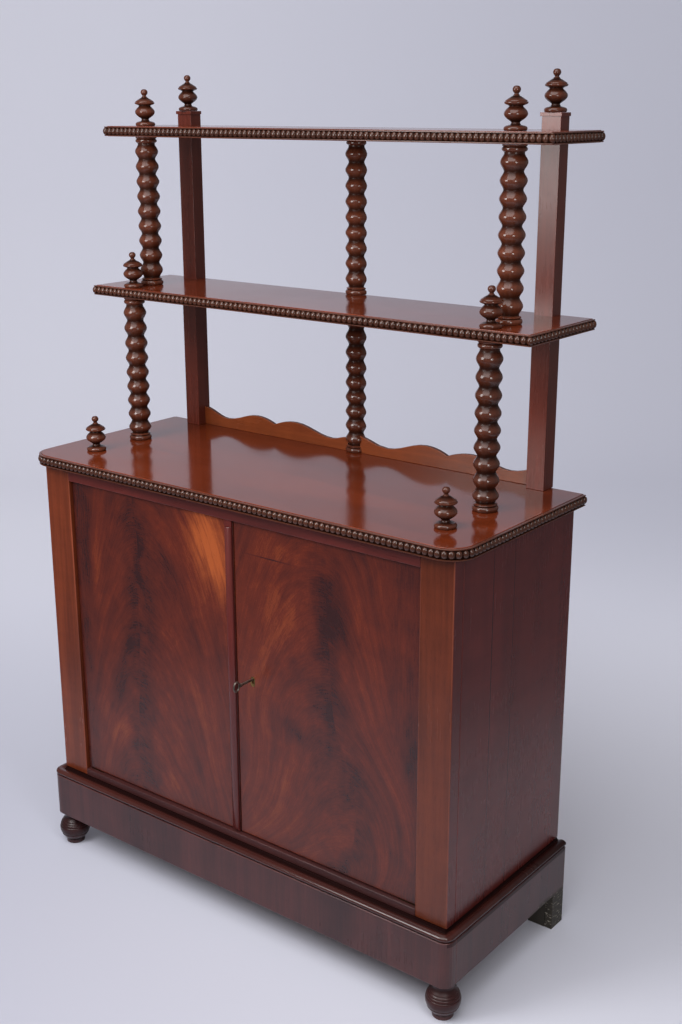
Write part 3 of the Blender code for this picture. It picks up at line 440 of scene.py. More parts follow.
def straight_mahogany(name, tones, along, gloss, contrast, seed, light=None, share=1.0, streak=0.35,
                      hollow_dark=0.75, strength=0.25, raw=None, pore=0.35, worn=0.55, joints=()):
    """Straight-grained mahogany: long streaks, slow clouds, dark pores, lighter edges from wear and a painted
    highlight, and painted shade in hollows.
    """
    bench = Bench(name)
    dark, light = wood_tone(tones + "_dark", share), wood_tone(light or tones + "_light", share)
    shift = (seed, seed * 0.7, seed * 1.3)
    clouds = bench.noise(grain_stretch(along, 2.4, 13), 3, 0.55, shift, 0.4)
    streaks = bench.noise(grain_stretch(along, 5, 150), 4, 0.6, shift)
    ribbon = bench.noise(grain_stretch(along, 34, 9), 2, 0.5, shift)
    pores = bench.noise(grain_stretch(along, 60, 1300), 2, 0.6, shift)
    tone = bench.times_plus(clouds, CLOUD_SHARE, bench.times(streaks, streak))
    tone = bench.times_plus(ribbon, 1.0 - CLOUD_SHARE - streak + 0.08, tone)
    tone = bench.calc("MULTIPLY_ADD", bench.minus(tone, 0.515), contrast, 0.5, clamp=True)
    middle = tuple((a + b) / 2 * 0.92 for a, b in zip(dark, light))
    colour = bench.ramp(tone, (0.05, dark), (0.5, middle), (0.95, light))
    open_pores = bench.between(pores, *PORES_OPEN)
    colour = bench.mix(bench.times(open_pores, pore), colour, scaled(dark, 0.35))
    # Lighter rounded edges: partly wear, partly a painted highlight along the arris.
    rubbed = bench.times(bench.mark("arris"), bench.between(clouds, 0.35, 0.6, worn * 0.27, worn))
    colour = bench.mix(rubbed, colour, tuple(min(1.0, c * 1.5 + 0.02) for c in light))
    for joint in joints:
        off = bench.calc("ABSOLUTE", bench.minus(bench.split(bench.place)[1], joint))
        line = bench.between(off, *JOINT_WIDTHS, 1.0, 0.0)
        line = bench.times(line, bench.between(clouds, 0.3, 0.6, 0.2, 0.8))
        colour = bench.mix(line, colour, scaled(dark, 0.35))
    # The mark hollow darkens the colour and dulls the reflection: painted shade in grooves, necks, coves and
    # gaps between parts.
    sunk = bench.times(bench.mark("hollow"), hollow_dark)
    colour = bench.mix(sunk, colour, scaled(dark, 0.3))
    bench.give("Specular IOR Level", bench.times_plus(sunk, -0.5, 0.5))
    smears = bench.noise((7, 7, 7), 3, 0.6, shift)
    rough = bench.times_plus(smears, 0.16, gloss - 0.08)
    rough = bench.times_plus(streaks, 0.08, bench.minus(rough, 0.04))
    rough = bench.times_plus(sunk, 0.25, rough)
    height = bench.times_plus(streaks, 0.35, bench.times(open_pores, -0.5))
    if raw:
        _, y, z = bench.split(bench.place)
        raw = wood_tone(raw)
        flecks = bench.noise((90, 90, 260), 3, 0.7)
        ragged = bench.times_plus(clouds, 0.03, z)
        bare = bench.times(bench.between(ragged, *BARE_BELOW, 1.0, 0.0), bench.between(y, *BARE_BEHIND))
        wood = bench.ramp(flecks, (0.35, scaled(raw, 0.5)), (0.6, raw), (0.7, SPLINTERS))
        colour = bench.mix(bare, colour, wood)
        rough = bench.times_plus(bare, 0.4, rough)
    return bench.finish(colour, rough, height, 0.12 * MM, strength)


def flame_mahogany(name, centre_line, drops, straight_from, patches, seed):
    """Flame veneer: arched figure that falls away on both sides of a dark, wandering feather.

    centre_line is (height, x) pairs from the bottom up, drops the two sides' curvature, straight_from the
    two distances past which the grain runs straight, patches are (x, z, half width, half height, lean, gain).
    """
    bench = Bench(name)
    x, _, z = bench.split(bench.place)
    low, high = centre_line[0][0], centre_line[-1][0]
    left = min(point[1] for point in centre_line) - 0.05
    curve = bench.add("ShaderNodeFloatCurve", {"Value": bench.over(bench.minus(z, low), high - low)})[0]
    points = curve.node.mapping.curves[0].points
    while len(points) < len(centre_line):
        points.new(0.5, 0.5)
    for point, (height, middle) in zip(points, centre_line):
        point.location = ((height - low) / (high - low), (middle - left) * 5.0)
    curve.node.mapping.update()
    wander = bench.noise((2, 2, 9), 2, 0.5, (seed, 0, seed))
    middle = bench.times_plus(curve, 0.2, left)
    middle = bench.times_plus(bench.minus(wander, 0.5), 0.02, middle)
    across = bench.minus(x, middle)
    on_right = bench.calc("GREATER_THAN", across, 0.0)
    drop = bench.times_plus(on_right, drops[1] - drops[0], drops[0])
    squared = bench.times(across, across)
    arch = bench.times_plus(squared, drop, z)
    push = bench.noise((5, 1, 4), 2, 0.5, (seed, 3, 1))
    arch = bench.times_plus(bench.minus(push, 0.5), 0.06, arch)
    span = bench.calc("ABSOLUTE", across)
    start = bench.times_plus(on_right, straight_from[1] - straight_from[0], straight_from[0])
    outside = bench.between(bench.minus(span, start), -0.02, 0.03)

    def figure(per_arch, per_across, detail, shift):
        """Noise drawn out along the arches, and along the height where the grain is straight."""
        spread = bench.vector(bench.times(arch, per_arch), bench.times(span, per_across),
                              bench.times(on_right, 7.0))
        upright = bench.vector(bench.times(x, per_arch), bench.times(z, per_across * 0.4), 3.0)
        options = (1.0, 1.0, 1.0), detail, 0.55, (seed + shift, shift, 0.0)
        bent = bench.noise(*options, 0.25, place=spread)
        plain = bench.noise(*options, place=upright)
        return bench.blend(outside, bent, plain)

    flames = figure(9.0, 8.0, 2.0, 0.0)
    bands = figure(46.0, 20.0, 5.0, 5.0)
    fibres = figure(330.0, 55.0, 5.0, 9.0)
    flecks = bench.noise((620, 1, 330), 4, 0.75)
    mottle = bench.noise((30, 1, 21), 4, 0.62, (seed, 0, 2), 0.6)
    tone = bench.times_plus(flames, 0.56, bench.times(bands, 0.36))
    for layer, share in ((fibres, 0.42), (flecks, 0.36), (mottle, 0.34)):
        tone = bench.times_plus(layer, share, tone)
    tone = bench.minus(tone, 0.645)
    broken = bench.noise((16, 1, 9), 3, 0.6, (seed, 0, 4))
    feather = bench.times(bench.bell(squared, 480.0), bench.between(broken, 0.3, 0.6, 0.03, 0.19))
    tone = bench.minus(bench.minus(tone, feather), bench.times(outside, 0.16))
    for px, pz, wide, tall, lean, gain in patches:
        dz = bench.minus(z, pz)
        tilted = bench.times_plus(dz, lean, bench.minus(x, px))
        far = bench.calc("ADD", bench.square(bench.over(tilted, wide)), bench.square(bench.over(dz, tall)))
        ragged = bench.times(bench.bell(far, 1.0), bench.between(bands, 0.25, 0.65, 0.55, 1.15))
        tone = bench.times_plus(ragged, gain, tone)
    dark, middle, light = (wood_tone("flame_" + depth) for depth in ("dark", "middle", "light"))
    colour = bench.ramp(tone, (0.08, dark), (0.46, middle), (1.0, light))
    open_pores = bench.between(bench.noise((900, 300, 90), 2, 0.6), *PORES_OPEN)
    colour = bench.mix(bench.times(open_pores, 0.22), colour, scaled(dark, 0.4))
    # Rounded door edges are darkened: painted shade along the edges of the doors.
    colour = bench.mix(bench.times(bench.mark("arris"), 0.6), colour, scaled(dark, 0.6))
    rough = bench.times_plus(bench.noise((6, 6, 6), 3, 0.6), 0.14, 0.17)
    height = bench.times_plus(fibres, 0.3, bench.times(open_pores, -0.4))
    return bench.finish(colour, rough, height, 0.1 * MM, 0.2)


def plain_pine(name, tone, along, seed):
    """Unpolished inside wood with growth lines, knots' shadows and dust in the grain."""
    bench = Bench(name)
    tone = wood_tone(tone)
    shift = (seed, seed, seed)
    rings = bench.noise(grain_stretch(along, 1.1, 46), 4, 0.6, shift, 0.25)
    lines = bench.noise(grain_stretch(along, 3, 240), 3, 0.6, shift)
    stain = bench.noise((3, 3, 3), 4, 0.6, shift)
    value = bench.times_plus(rings, 0.7, bench.times(lines, 0.3))
    colour = bench.ramp(value, (0.3, scaled(tone, 0.45)), (0.5, scaled(tone, 0.8)), (0.75, tone))
    colour = bench.mix(bench.between(stain, 0.5, 0.75, 0.0, 0.6), colour, scaled(tone, 0.3))
    height = bench.times_plus(lines, 0.5, bench.times(rings, 0.5))
    rough = bench.times_plus(stain, 0.2, 0.55)
    return bench.finish(colour, rough, height, 0.3 * MM, 0.4)


def aged_metal(name, tone, rubbed, tarnish, gloss):
    """Metal with tarnish, small pits and fine scratches; rubbed and tarnish are shares of the tone."""
    bench = Bench(name)
    blotch = bench.noise((120, 120, 120), 4, 0.65)
    scratch = bench.noise((900, 200, 2000), 2, 0.5)
    colour = bench.ramp(blotch, (0.38, wood_tone(tone, tarnish)), (0.62, wood_tone(tone, rubbed)))
    rough = bench.times_plus(blotch, -0.25, gloss + 0.15)
    rough = bench.times_plus(scratch, 0.12, rough)
    bench.give("Metallic", 1.0)
    height = bench.times_plus(blotch, 0.6, bench.times(scratch, 0.4))
    return bench.finish(colour, rough, height, 0.1 * MM, 0.35)


STRAIGHT = {
    "polished_top": dict(tones="top", along="x", gloss=0.13, contrast=1.3, seed=1.0, strength=0.08),
    "left_pilaster": dict(tones="front", along="z", gloss=0.24, contrast=1.9, seed=2.0),
    # The right pilaster takes the pilaster tones at 0.72: painted shade, a darker copy of the left pilaster's
    # finish.
    "right_pilaster": dict(tones="front", along="z", gloss=0.24, contrast=1.7, seed=2.6, share=0.72),
    "top_rail": dict(tones="side", along="x", gloss=0.30, contrast=1.6, seed=3.0),
    "bottom_rail": dict(tones="plinth", along="x", gloss=0.4, contrast=1.2, seed=3.5, worn=0.1),
    # The closing bead's strong lightening of its arris strip is a painted reflection.
    "closing_bead": dict(tones="side", along="z", gloss=0.22, contrast=1.3, seed=14.0, worn=0.9),
    "side": dict(tones="side", along="z", gloss=0.26, contrast=1.0, seed=4.0, streak=0.2, strength=0.02,
                 pore=0.14, joints=(0.012, -0.055)),
    "post": dict(tones="post", along="z", gloss=0.28, contrast=1.4, seed=5.0, worn=0.1),
    "turned": dict(tones="turned", along="z", gloss=0.11, contrast=1.5, seed=6.0, hollow_dark=0.9),
    "bead": dict(tones="bead", along="x", gloss=0.06, contrast=1.2, seed=7.0),
    "band": dict(tones="bead", light="turned_light", along="x", gloss=0.28, contrast=1.2, seed=8.0,
                 hollow_dark=0.92),
    "plinth": dict(tones="plinth", along="z", gloss=0.30, contrast=2.0, seed=9.0, raw="raw_wood"),
    "torus": dict(tones="torus", along="x", gloss=0.16, contrast=1.3, seed=13.0, hollow_dark=0.9),
    "gallery": dict(tones="front", light="gallery_light", along="x", gloss=0.24, contrast=1.2, seed=11.0),
    "foot": dict(tones="plinth", along="z", gloss=0.22, contrast=1.2, seed=12.0),
}

FLAMES = {
    "left_flame": dict(
        centre_line=((0.20, -0.262), (0.35, -0.262), (0.50, -0.250), (0.65, -0.240), (0.82, -0.245)),
        drops=(16.0, 7.1), straight_from=(0.125, 0.5), seed=2.0,
        patches=((-0.048, 0.758, 0.046, 0.076, 0.24, 0.80), (-0.362, 0.64, 0.012, 0.06, 0.0, 0.14),
                 (-0.305, 0.31, 0.034, 0.045, 0.0, 0.18), (-0.175, 0.235, 0.026, 0.024, 0.0, 0.20),
                 (-0.240, 0.68, 0.036, 0.085, 0.0, -0.14), (-0.31, 0.41, 0.026, 0.045, 0.0, -0.18),
                 (-0.220, 0.41, 0.022, 0.045, 0.0, -0.15))),
    "right_flame": dict(
        centre_line=((0.20, 0.245), (0.33, 0.285), (0.50, 0.235), (0.65, 0.225), (0.82, 0.215)),
        drops=(6.6, 21.0), straight_from=(0.5, 0.125), seed=6.0,
        patches=((0.120, 0.675, 0.055, 0.080, -0.3, 0.12), (0.150, 0.44, 0.025, 0.022, 0.8, -0.25),
                 (0.230, 0.69, 0.040, 0.10, 0.0, -0.18), (0.095, 0.52, 0.020, 0.035, 0.0, 0.16),
                 (0.094, 0.7615, 0.044, 0.0011, 0.0, -0.45), (0.150, 0.775, 0.060, 0.030, 0.0, 0.16))),
}

UNPOLISHED = {
    "pine": dict(tone="pine", along="x", seed=1.0),
    "block": dict(tone="raw_wood", along="z", seed=5.0),
}

METALS = {
    "brass": dict(tone="brass", rubbed=1.0, tarnish=0.35, gloss=0.28),
    "dark_brass": dict(tone="brass", rubbed=0.16, tarnish=0.05, gloss=0.4),
    "steel": dict(tone="steel", rubbed=1.0, tarnish=0.3, gloss=0.32),
}

MAKERS = ((straight_mahogany, STRAIGHT), (flame_mahogany, FLAMES), (plain_pine, UNPOLISHED),
          (aged_metal, METALS))
MATERIALS = {}


def finish_named(name):
    """The finish of that name, made the first time it is asked for."""
    if name not in MATERIALS:
        maker, table = next(pair for pair in MAKERS if name in pair[1])
        MATERIALS[name] = maker(name, **table[name])
    return MATERIALS[name]


def repaint(finish, *nodes):
    """Give CAD nodes that keep their own shape a finish."""
    for node in nodes:
        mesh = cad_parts[node].data
        mesh.materials.clear()
        mesh.materials.append(finish_named(finish))


# --- turned pieces

TORUS_RADIUS = 21.7
RING_TOP = 14.2
GROOVES = (9.0, 9.4, RING_TOP)
NECK_SHARE = 0.715
BOBBIN_STEPS = 16


def bobbin_profile(sizes, centres, height):
    """Column profile from the shelf up: torus, ring, round bobbins, head ring."""
    radius = sizes.bobbin_radius
    scale = radius / (TORUS_RADIUS * MM)
    base = ((0.0, 0.0), (19.6, 0.0), (21.0, 1.2), (21.7, 4.0), (21.5, 6.0), (20.2, 8.2), (18.4, 9.0),
            (18.0, 9.4), (18.6, 9.9), (19.7, 10.6), (19.9, 11.6), (19.0, 12.6), (17.0, 13.4),
            (15.9, RING_TOP))
    # The third value of each point is the mark hollow: painted shade in the grooves, the necks between
    # bobbins and the head ring's grooves.
    profile = [(r * MM * scale, h * MM, 0.8 if h in GROOVES else 0.0) for r, h in base]
    spaces = [b - a for a, b in zip(centres, centres[1:])]
    lower = [min(spaces[0], 2 * (centres[0] - RING_TOP * MM))] + spaces
    upper = spaces + [spaces[-1]]
    neck = radius * NECK_SHARE
    for middle, below, above in zip(centres, lower, upper):
        for i in range(BOBBIN_STEPS):
            part = -1.0 + 2 * i / BOBBIN_STEPS
            reach = below / 2 if part < 0 else above / 2
            wave = (1 + math.cos(math.pi * part)) / 2
            swell = (radius - neck) * wave ** 0.8
            profile.append((neck + swell, middle + part * reach, 0.9 * (1 - wave) ** 2))
    top = centres[-1] + upper[-1] / 2
    head = ((16.2, 0.10, 0.6), (18.0, 0.18, 0.0), (19.7, 0.30, 0.0), (20.1, 0.45, 0.0), (19.6, 0.60, 0.0),
            (18.2, 0.68, 0.5), (17.8, 0.72, 0.9), (18.6, 0.76, 0.3), (19.6, 0.84, 0.0), (19.8, 1.0, 0.0),
            (0.0, 1.0, 0.0))
    profile += [(r * MM * scale, top + (height - top) * part, depth) for r, part, depth in head]
    return profile


# Outlines of the finials and feet as (radius, height) in millimetres, from the bottom up.
FINIAL = (
    (0, 0), (17.6, 0), (18.7, 1), (19.3, 3.2), (18.9, 5.2), (17.4, 6.8), (14.5, 8), (11.5, 8.6), (8.6, 9.4),
    (7.8, 10.5), (7.2, 12), (7, 13.2), (8.4, 14.6), (11.2, 16.4), (14.4, 18.6), (17.2, 21.2), (18.8, 23.6),
    (19.3, 25.6), (19.2, 27.4), (18.2, 29.8), (16.4, 32.2), (14.2, 34.4), (12.2, 36.2), (11.4, 37.2),
    (11.2, 38), (12.6, 38.8), (15.2, 39.8), (17.8, 40.8), (19, 41.8), (19.4, 43), (19.1, 44), (18.2, 44.6),
    (17.6, 44.9), (17.8, 45.4), (17.4, 46.4), (14.6, 48.2), (11.4, 50.2), (8.4, 51.9), (6.2, 53),
    (5.4, 53.6), (5.3, 54.4), (4.6, 55), (3.6, 56), (3.6, 57), (4.6, 58.2), (5.9, 59.8), (6.6, 61.6),
    (6.8, 63.2), (6.4, 65.2), (5.3, 67), (3.4, 68.4), (0, 69),
)

FOOT = (
    (0, 0), (18.2, 0), (19.2, 0.8), (19.4, 2.6), (19.1, 5.2), (18.3, 7), (18.5, 8), (19.6, 9.4), (22.2, 12),
    (25.6, 16), (28.3, 20), (29.3, 22.6), (29, 23.8), (30.4, 25.4), (31.6, 30), (32, 34), (31.9, 37),
    (31.3, 39.6), (29.9, 40.8), (30.6, 42.2), (29.8, 45), (28.2, 46.2), (28.6, 47.6), (27.2, 50),
    (25.4, 51.2), (25.7, 52.4), (23.6, 55.2), (20.1, 58.8), (19.4, 61), (19.6, 65), (20.6, 68), (21, 70),
    (21, 72.7), (0, 72.7),
)

FINIAL_RADIUS = 19.3 * MM
FOOT_RADIUS = 32 * MM
FOOT_COLLAR = 22 * MM
DEEP_GROOVE = 9.0  # depth in millimetres that counts as fully hollow


def traced_profile(points, scale, height):
    """Outline stretched to the height; the mark hollow, painted shade, grows where the outline turns inwards.
    """
    stretch = height / (points[-1][1] * MM)
    profile = []
    for i, (radius, rise) in enumerate(points):
        near = [p[0] for p in points[max(1, i - 3):i + 4] if p[0] > 0]
        sunk = max(0.0, max(near) - radius) / DEEP_GROOVE if 0 < i < len(points) - 1 else 0.0
        profile.append((radius * MM * scale, rise * MM * stretch, min(1.0, sunk)))
    return profile


def node_height(node):
    low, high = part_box(node)
    return high.z - low.z


def place_turning(node, profile, finish="turned", half=False):
    """Spin the profile on the node's upright axis; a half turning has its flat side at the back."""
    low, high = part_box(node)
    y = high.y if half else (low.y + high.y) / 2
    steps = bpy.context.scene.etagere_turning.steps
    bm = turned_shape(profile, steps, (low.x + high.x) / 2, y, low.z, half)
    place_piece(node + "_turning", bm, [finish], "turned_mahogany", node)


class EtagereColumns(bpy.types.Operator):
    """Turn the four free columns and the two half columns at the back"""
    bl_idname = "etagere.columns"
    bl_label = "Bobbin columns"

    def execute(self, context):
        sizes = context.scene.etagere_turning
        for node in ("left_lower_column", "right_lower_column", "left_upper_column", "right_upper_column",
                     "lower_half_column", "upper_half_column"):
            first, space, growth = sizes.upper_first, sizes.upper_spacing, 0.0
            if "lower" in node:
                first, space, growth = sizes.lowest_bobbin, sizes.lower_spacing, sizes.lower_widening
            centres = [first + space * i + growth * (i - 1) * i / 2 for i in range(sizes.bobbins)]
            place_turning(node, bobbin_profile(sizes, centres, node_height(node)), half="half" in node)
        return {"FINISHED"}


class EtagereFinials(bpy.types.Operator):
    """Turn the eight finials"""
    bl_idname = "etagere.finials"
    bl_label = "Finials"

    def execute(self, context):
        scale = context.scene.etagere_turning.finial_radius / FINIAL_RADIUS
        for node in [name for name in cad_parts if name.endswith("_finial")]:
            place_turning(node, traced_profile(FINIAL, scale, node_height(node)))
        return {"FINISHED"}


class EtagereFeet(bpy.types.Operator):
    """Turn the two bun feet"""
    bl_idname = "etagere.feet"
    bl_label = "Front feet"

    def execute(self, context):
        scale = context.scene.etagere_turning.foot_radius / FOOT_RADIUS
        for node in ("left_front_foot", "right_front_foot"):
            profile = traced_profile(FOOT, scale, node_height(node))
            profile = [(r, h, max(dark, 0.5) if h > FOOT_COLLAR else dark) for r, h, dark in profile]
            place_turning(node, profile, "foot")
        return {"FINISHED"}


# --- mouldings

def bead_tree(sizes):
    """Geometry nodes: split beads threaded along the path at an even pitch."""
    tree = bpy.data.node_groups.new("split_beads", "GeometryNodeTree")
    ports = tree.interface
    ports.new_socket("Geometry", in_out="INPUT", socket_type="NodeSocketGeometry")
    for label, value in (("Pitch", sizes.bead_pitch), ("Bead length", sizes.bead_pitch * 1.06),
                         ("Bead depth", sizes.bead_depth * 2.0), ("Bead height", sizes.bead_height)):
        socket = ports.new_socket(label, in_out="INPUT", socket_type="NodeSocketFloat")
        socket.default_value = value
        socket.subtype = "DISTANCE"
    ports.new_socket("Wood", in_out="INPUT", socket_type="NodeSocketMaterial")
    ports.new_socket("Geometry", in_out="OUTPUT", socket_type="NodeSocketGeometry")

    add = partial(add_node, tree)
    given = add("NodeGroupInput")
    curve = add("GeometryNodeMeshToCurve", {"Mesh": given["Geometry"]})
    points = add("GeometryNodeCurveToPoints", {"Curve": curve[0], "Length": given["Pitch"]}, mode="LENGTH")
    turn = add("FunctionNodeAlignRotationToVector", {"Vector": points["Tangent"]}, axis="X", pivot_axis="Z")
    ball = add("GeometryNodeMeshUVSphere", {"Segments": 8, "Rings": 6, "Radius": 0.5})
    size = add("ShaderNodeCombineXYZ", {"X": given["Bead length"], "Y": given["Bead depth"],
                                        "Z": given["Bead height"]})
    spread = add("GeometryNodeInstanceOnPoints", {"Points": points["Points"], "Instance": ball["Mesh"],
                                                  "Rotation": turn[0], "Scale": size[0]})
    real = add("GeometryNodeRealizeInstances", {0: spread[0]})
    smooth = add("GeometryNodeSetShadeSmooth", {0: real[0]})
    paint = add("GeometryNodeSetMaterial", {"Geometry": smooth[0], "Material": given["Wood"]})
    add("NodeGroupOutput", {0: paint[0]})
    return tree


def threaded_beads(paths, height, tree, settings):
    """Run the bead tree on level paths and return the beads as one plain mesh."""
    mesh = bpy.data.meshes.new("bead_paths")
    points, edges = [], []
    for path in paths:
        first = len(points)
        points += [(p.x, p.y, height) for p in path]
        edges += [(first + i, first + i + 1) for i in range(len(path) - 1)]
    mesh.from_pydata(points, edges, [])
    carrier = add_object("bead_paths", mesh)
    modifier = carrier.modifiers.new("beads", "NODES")
    modifier.node_group = tree
    for item in tree.interface.items_tree:
        if item.in_out == "INPUT" and item.name in settings:
            modifier[item.identifier] = settings[item.name]
    graph = bpy.context.evaluated_depsgraph_get()
    beads = bpy.data.meshes.new_from_object(carrier.evaluated_get(graph))
    bpy.data.objects.remove(carrier, do_unlink=True)
    bpy.data.meshes.remove(mesh)
    return beads


class EtagereBeadedEdges(bpy.types.Operator):
    """Run the beaded bands round the cabinet top and the two shelves"""
    bl_idname = "etagere.beaded_edges"
    bl_label = "Beaded edges"

    def execute(self, context):
        sizes = context.scene.etagere_mouldings
        tree = bead_tree(sizes)
        for shelf, radius, steps in (("cabinet_top", 50 * MM, 16), ("middle_shelf", 5 * MM, 4),
                                     ("top_shelf", 5 * MM, 4)):
            node = shelf + "_moulding"
            low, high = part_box(node)
            bm = run_round(node, radius, steps, self.band_section(sizes, low.z, high.z))
            for face in bm.faces:
                face.material_index = 1
            band_faces = len(bm.faces)
            core = edge_path(node, radius, steps, sizes.bead_depth * 0.97)
            settings = {"Wood": finish_named("bead")}
            if shelf == "cabinet_top":
                length = sum((b - a).length for a, b in zip(core, core[1:]))
                settings["Pitch"] = length / round(length / sizes.bead_pitch)
                chains = [core]
            else:
                front = core[len(core) // 2].y
                left, right = Vector((core[0].x, front)), Vector((core[-1].x, front))
                chains = [[core[0], left], [left, right], [right, core[-1]]]
            beads = threaded_beads(chains, (low.z + high.z) / 2, tree, settings)
            bm.from_mesh(beads)
            bpy.data.meshes.remove(beads)
            bm.faces.ensure_lookup_table()
            for face in bm.faces[band_faces:]:
                face.material_index = 0
            place_piece(shelf + "_beading", bm, ["bead", "band"], "beaded_mahogany", node)
        return {"FINISHED"}

    @staticmethod
    def band_section(sizes, low, high):
        """Back board of the beads: two thin fillets with a half-round core between them."""
        thick, lip = sizes.band_thick, sizes.fillet
        middle = (low + high) / 2
        half = (high - low) / 2 - lip
        edge, bevel, core = -2.4 * MM, 0.4 * MM, -5.6 * MM
        # The third values are the mark hollow: painted shade on the core behind and between the beads and on
        # the fillets' inner edges.
        section = [(-thick, low, 0.0), (-thick, high, 0.0), (edge - bevel, high, 0.0),
                   (edge, high - bevel, 0.0), (edge, high - lip, 0.2)]
        for i in range(9):
            angle = math.radians(90 - 180 * i / 8)
            section.append((core - edge * math.cos(angle), middle + half * 0.94 * math.sin(angle), 1.0))
        return section + [(edge, low + lip, 0.2), (edge, low + bevel, 0.0), (edge - bevel, low, 0.0)]


class EtagerePlinth(bpy.types.Operator):
    """Make the plinth boards, the rear blocks and the moulding above the plinth"""
    bl_idname = "etagere.plinth"
    bl_label = "Plinth"

    def execute(self, context):
        edges = context.scene.etagere_boards
        for node in ("plinth_front", "left_plinth_side", "right_plinth_side"):
            bm = softened_copy(node, edges.arris)
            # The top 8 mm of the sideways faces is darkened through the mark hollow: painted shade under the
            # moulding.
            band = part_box(node)[1].z - 8 * MM
            bmesh.ops.bisect_plane(bm, geom=bm.verts[:] + bm.edges[:] + bm.faces[:], plane_co=(0, 0, band),
                                   plane_no=(0, 0, 1))
            darken_faces(bm, 0.7, lambda centre, normal: centre.z > band and abs(normal.x) > 0.75)
            place_piece(node + "_veneered", bm, ["plinth"], "plinth_mahogany", node)
        repaint("block", "left_rear_foot_block", "right_rear_foot_block")
        self.torus("plinth_moulding")
        return {"FINISHED"}

    @staticmethod
    def torus(node):
        """Bead with a cove above it, darker along the sides than at the front."""
        low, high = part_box(node)
        rise = high.z - low.z
        back, cove, bulge, middle = -38 * MM, -21 * MM, 8.5 * MM, rise * 0.42
        # The third values are the mark hollow: painted shade on the back, in the cove and in the crease under
        # the bead.
        section = [(back, 0.0, 0.5), (back, rise, 0.5), (cove, rise, 1.0), (-19.5 * MM, rise * 0.70, 1.0),
                   (-17.5 * MM, rise * 0.62, 1.0)]
        for i in range(14):
            angle = math.radians(150 - 210 * i / 13)
            section.append((-bulge + bulge * math.cos(angle), middle + middle * math.sin(angle), 0.0))
        section += [(-6 * MM, 0.0, 0.3)]
        bm = run_round(node, 21 * MM, 8, [(u, low.z + h, depth) for u, h, depth in section])
        hollow = bm.verts.layers.float["hollow"]
        for vert in bm.verts:
            if vert.co.y > low.y + 30 * MM:
                vert[hollow] = max(vert[hollow], 0.75)
        place_piece("plinth_torus", bm, ["torus"], "moulding_mahogany", node)


# --- boards

class EtagereShelves(bpy.types.Operator):
    """Make the polished cabinet top and the two open shelves"""
    bl_idname = "etagere.shelves"
    bl_label = "Tops and shelves"

    def execute(self, context):
        for node in ("cabinet_top", "middle_shelf", "top_shelf"):
            bm = softened_copy(node, 0.5 * MM, 1)
            place_piece(node + "_board", bm, ["polished_top"], "polished_mahogany", node)
        return {"FINISHED"}


class EtagereCarcase(bpy.types.Operator):
    """Make the side panels, pilasters and rails, and finish the pieces inside"""
    bl_idname = "etagere.carcase"
    bl_label = "Carcase"

    def execute(self, context):
        edges = context.scene.etagere_boards
        for label in ("left", "right"):
            panel, pilaster = label + "_side_panel", label + "_pilaster"
            bm = softened_copy(panel, edges.arris)
            place_piece(label + "_side_board", bm, ["side"], "side_mahogany", panel)
            bm = softened_copy(pilaster, edges.pilaster_arris, 3)
            outer = max(abs(vert.co.x) for vert in bm.verts) - 1 * MM
            for face in bm.faces:
                face.material_index = abs(face.normal.x) > 0.8 and abs(face.calc_center_median().x) > outer
            place_piece(pilaster + "_board", bm, [pilaster, "side"], "front_mahogany", pilaster)
        for node in ("top_rail", "bottom_rail"):
            bm = softened_copy(node, 0.6 * MM, outer_only=True)
            place_piece(node + "_board", bm, [node], "front_mahogany", node)
        repaint("pine", "cabinet_floor", "inner_shelf", "back_panel", "left_shelf_bearer",
                "right_shelf_bearer")
        return {"FINISHED"}


class EtagerePosts(bpy.types.Operator):
    """Make the two back posts with their caps"""
    bl_idname = "etagere.posts"
    bl_label = "Back posts"

    def execute(self, context):
        edges = context.scene.etagere_boards
        pull = 1.3 * MM
        for label in ("left", "right"):
            node = label + "_post"
            bm = softened_copy(node, edges.post_arris, 3)
            low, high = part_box(node)
            middle = (low.x + high.x) / 2
            for vert in bm.verts:
                in_cap = vert.co.z > high.z - 6.5 * MM
                if in_cap and abs(vert.co.x - middle) > 18.5 * MM:
                    vert.co.x -= math.copysign(pull, vert.co.x - middle)
                if in_cap and vert.co.y < low.y + 2 * MM:
                    vert.co.y += pull
            darken_faces(bm, 0.4, lambda centre, normal: normal.x > 0.8)
            place_piece(node + "_planed", bm, ["post"], "side_mahogany", node)
        return {"FINISHED"}


class EtagereGallery(bpy.types.Operator):
    """Make the two shaped boards at the back of the cabinet top"""
    bl_idname = "etagere.gallery"
    bl_label = "Gallery"

    def execute(self, context):
        for node in ("left_gallery", "right_gallery"):
            bm = softened_copy(node, 0.6 * MM)
            inner = min(abs(vert.co.x) for vert in bm.verts)
            for vert in bm.verts:
                if abs(vert.co.x) < inner + 1 * MM:
                    vert.co.x *= 1 - 8 * MM / abs(vert.co.x)
            darken_faces(bm, 0.75, lambda centre, normal: abs(normal.y) < 0.5)
            place_piece(node + "_board", bm, ["gallery"], "gallery_mahogany", node)
        return {"FINISHED"}


# --- doors

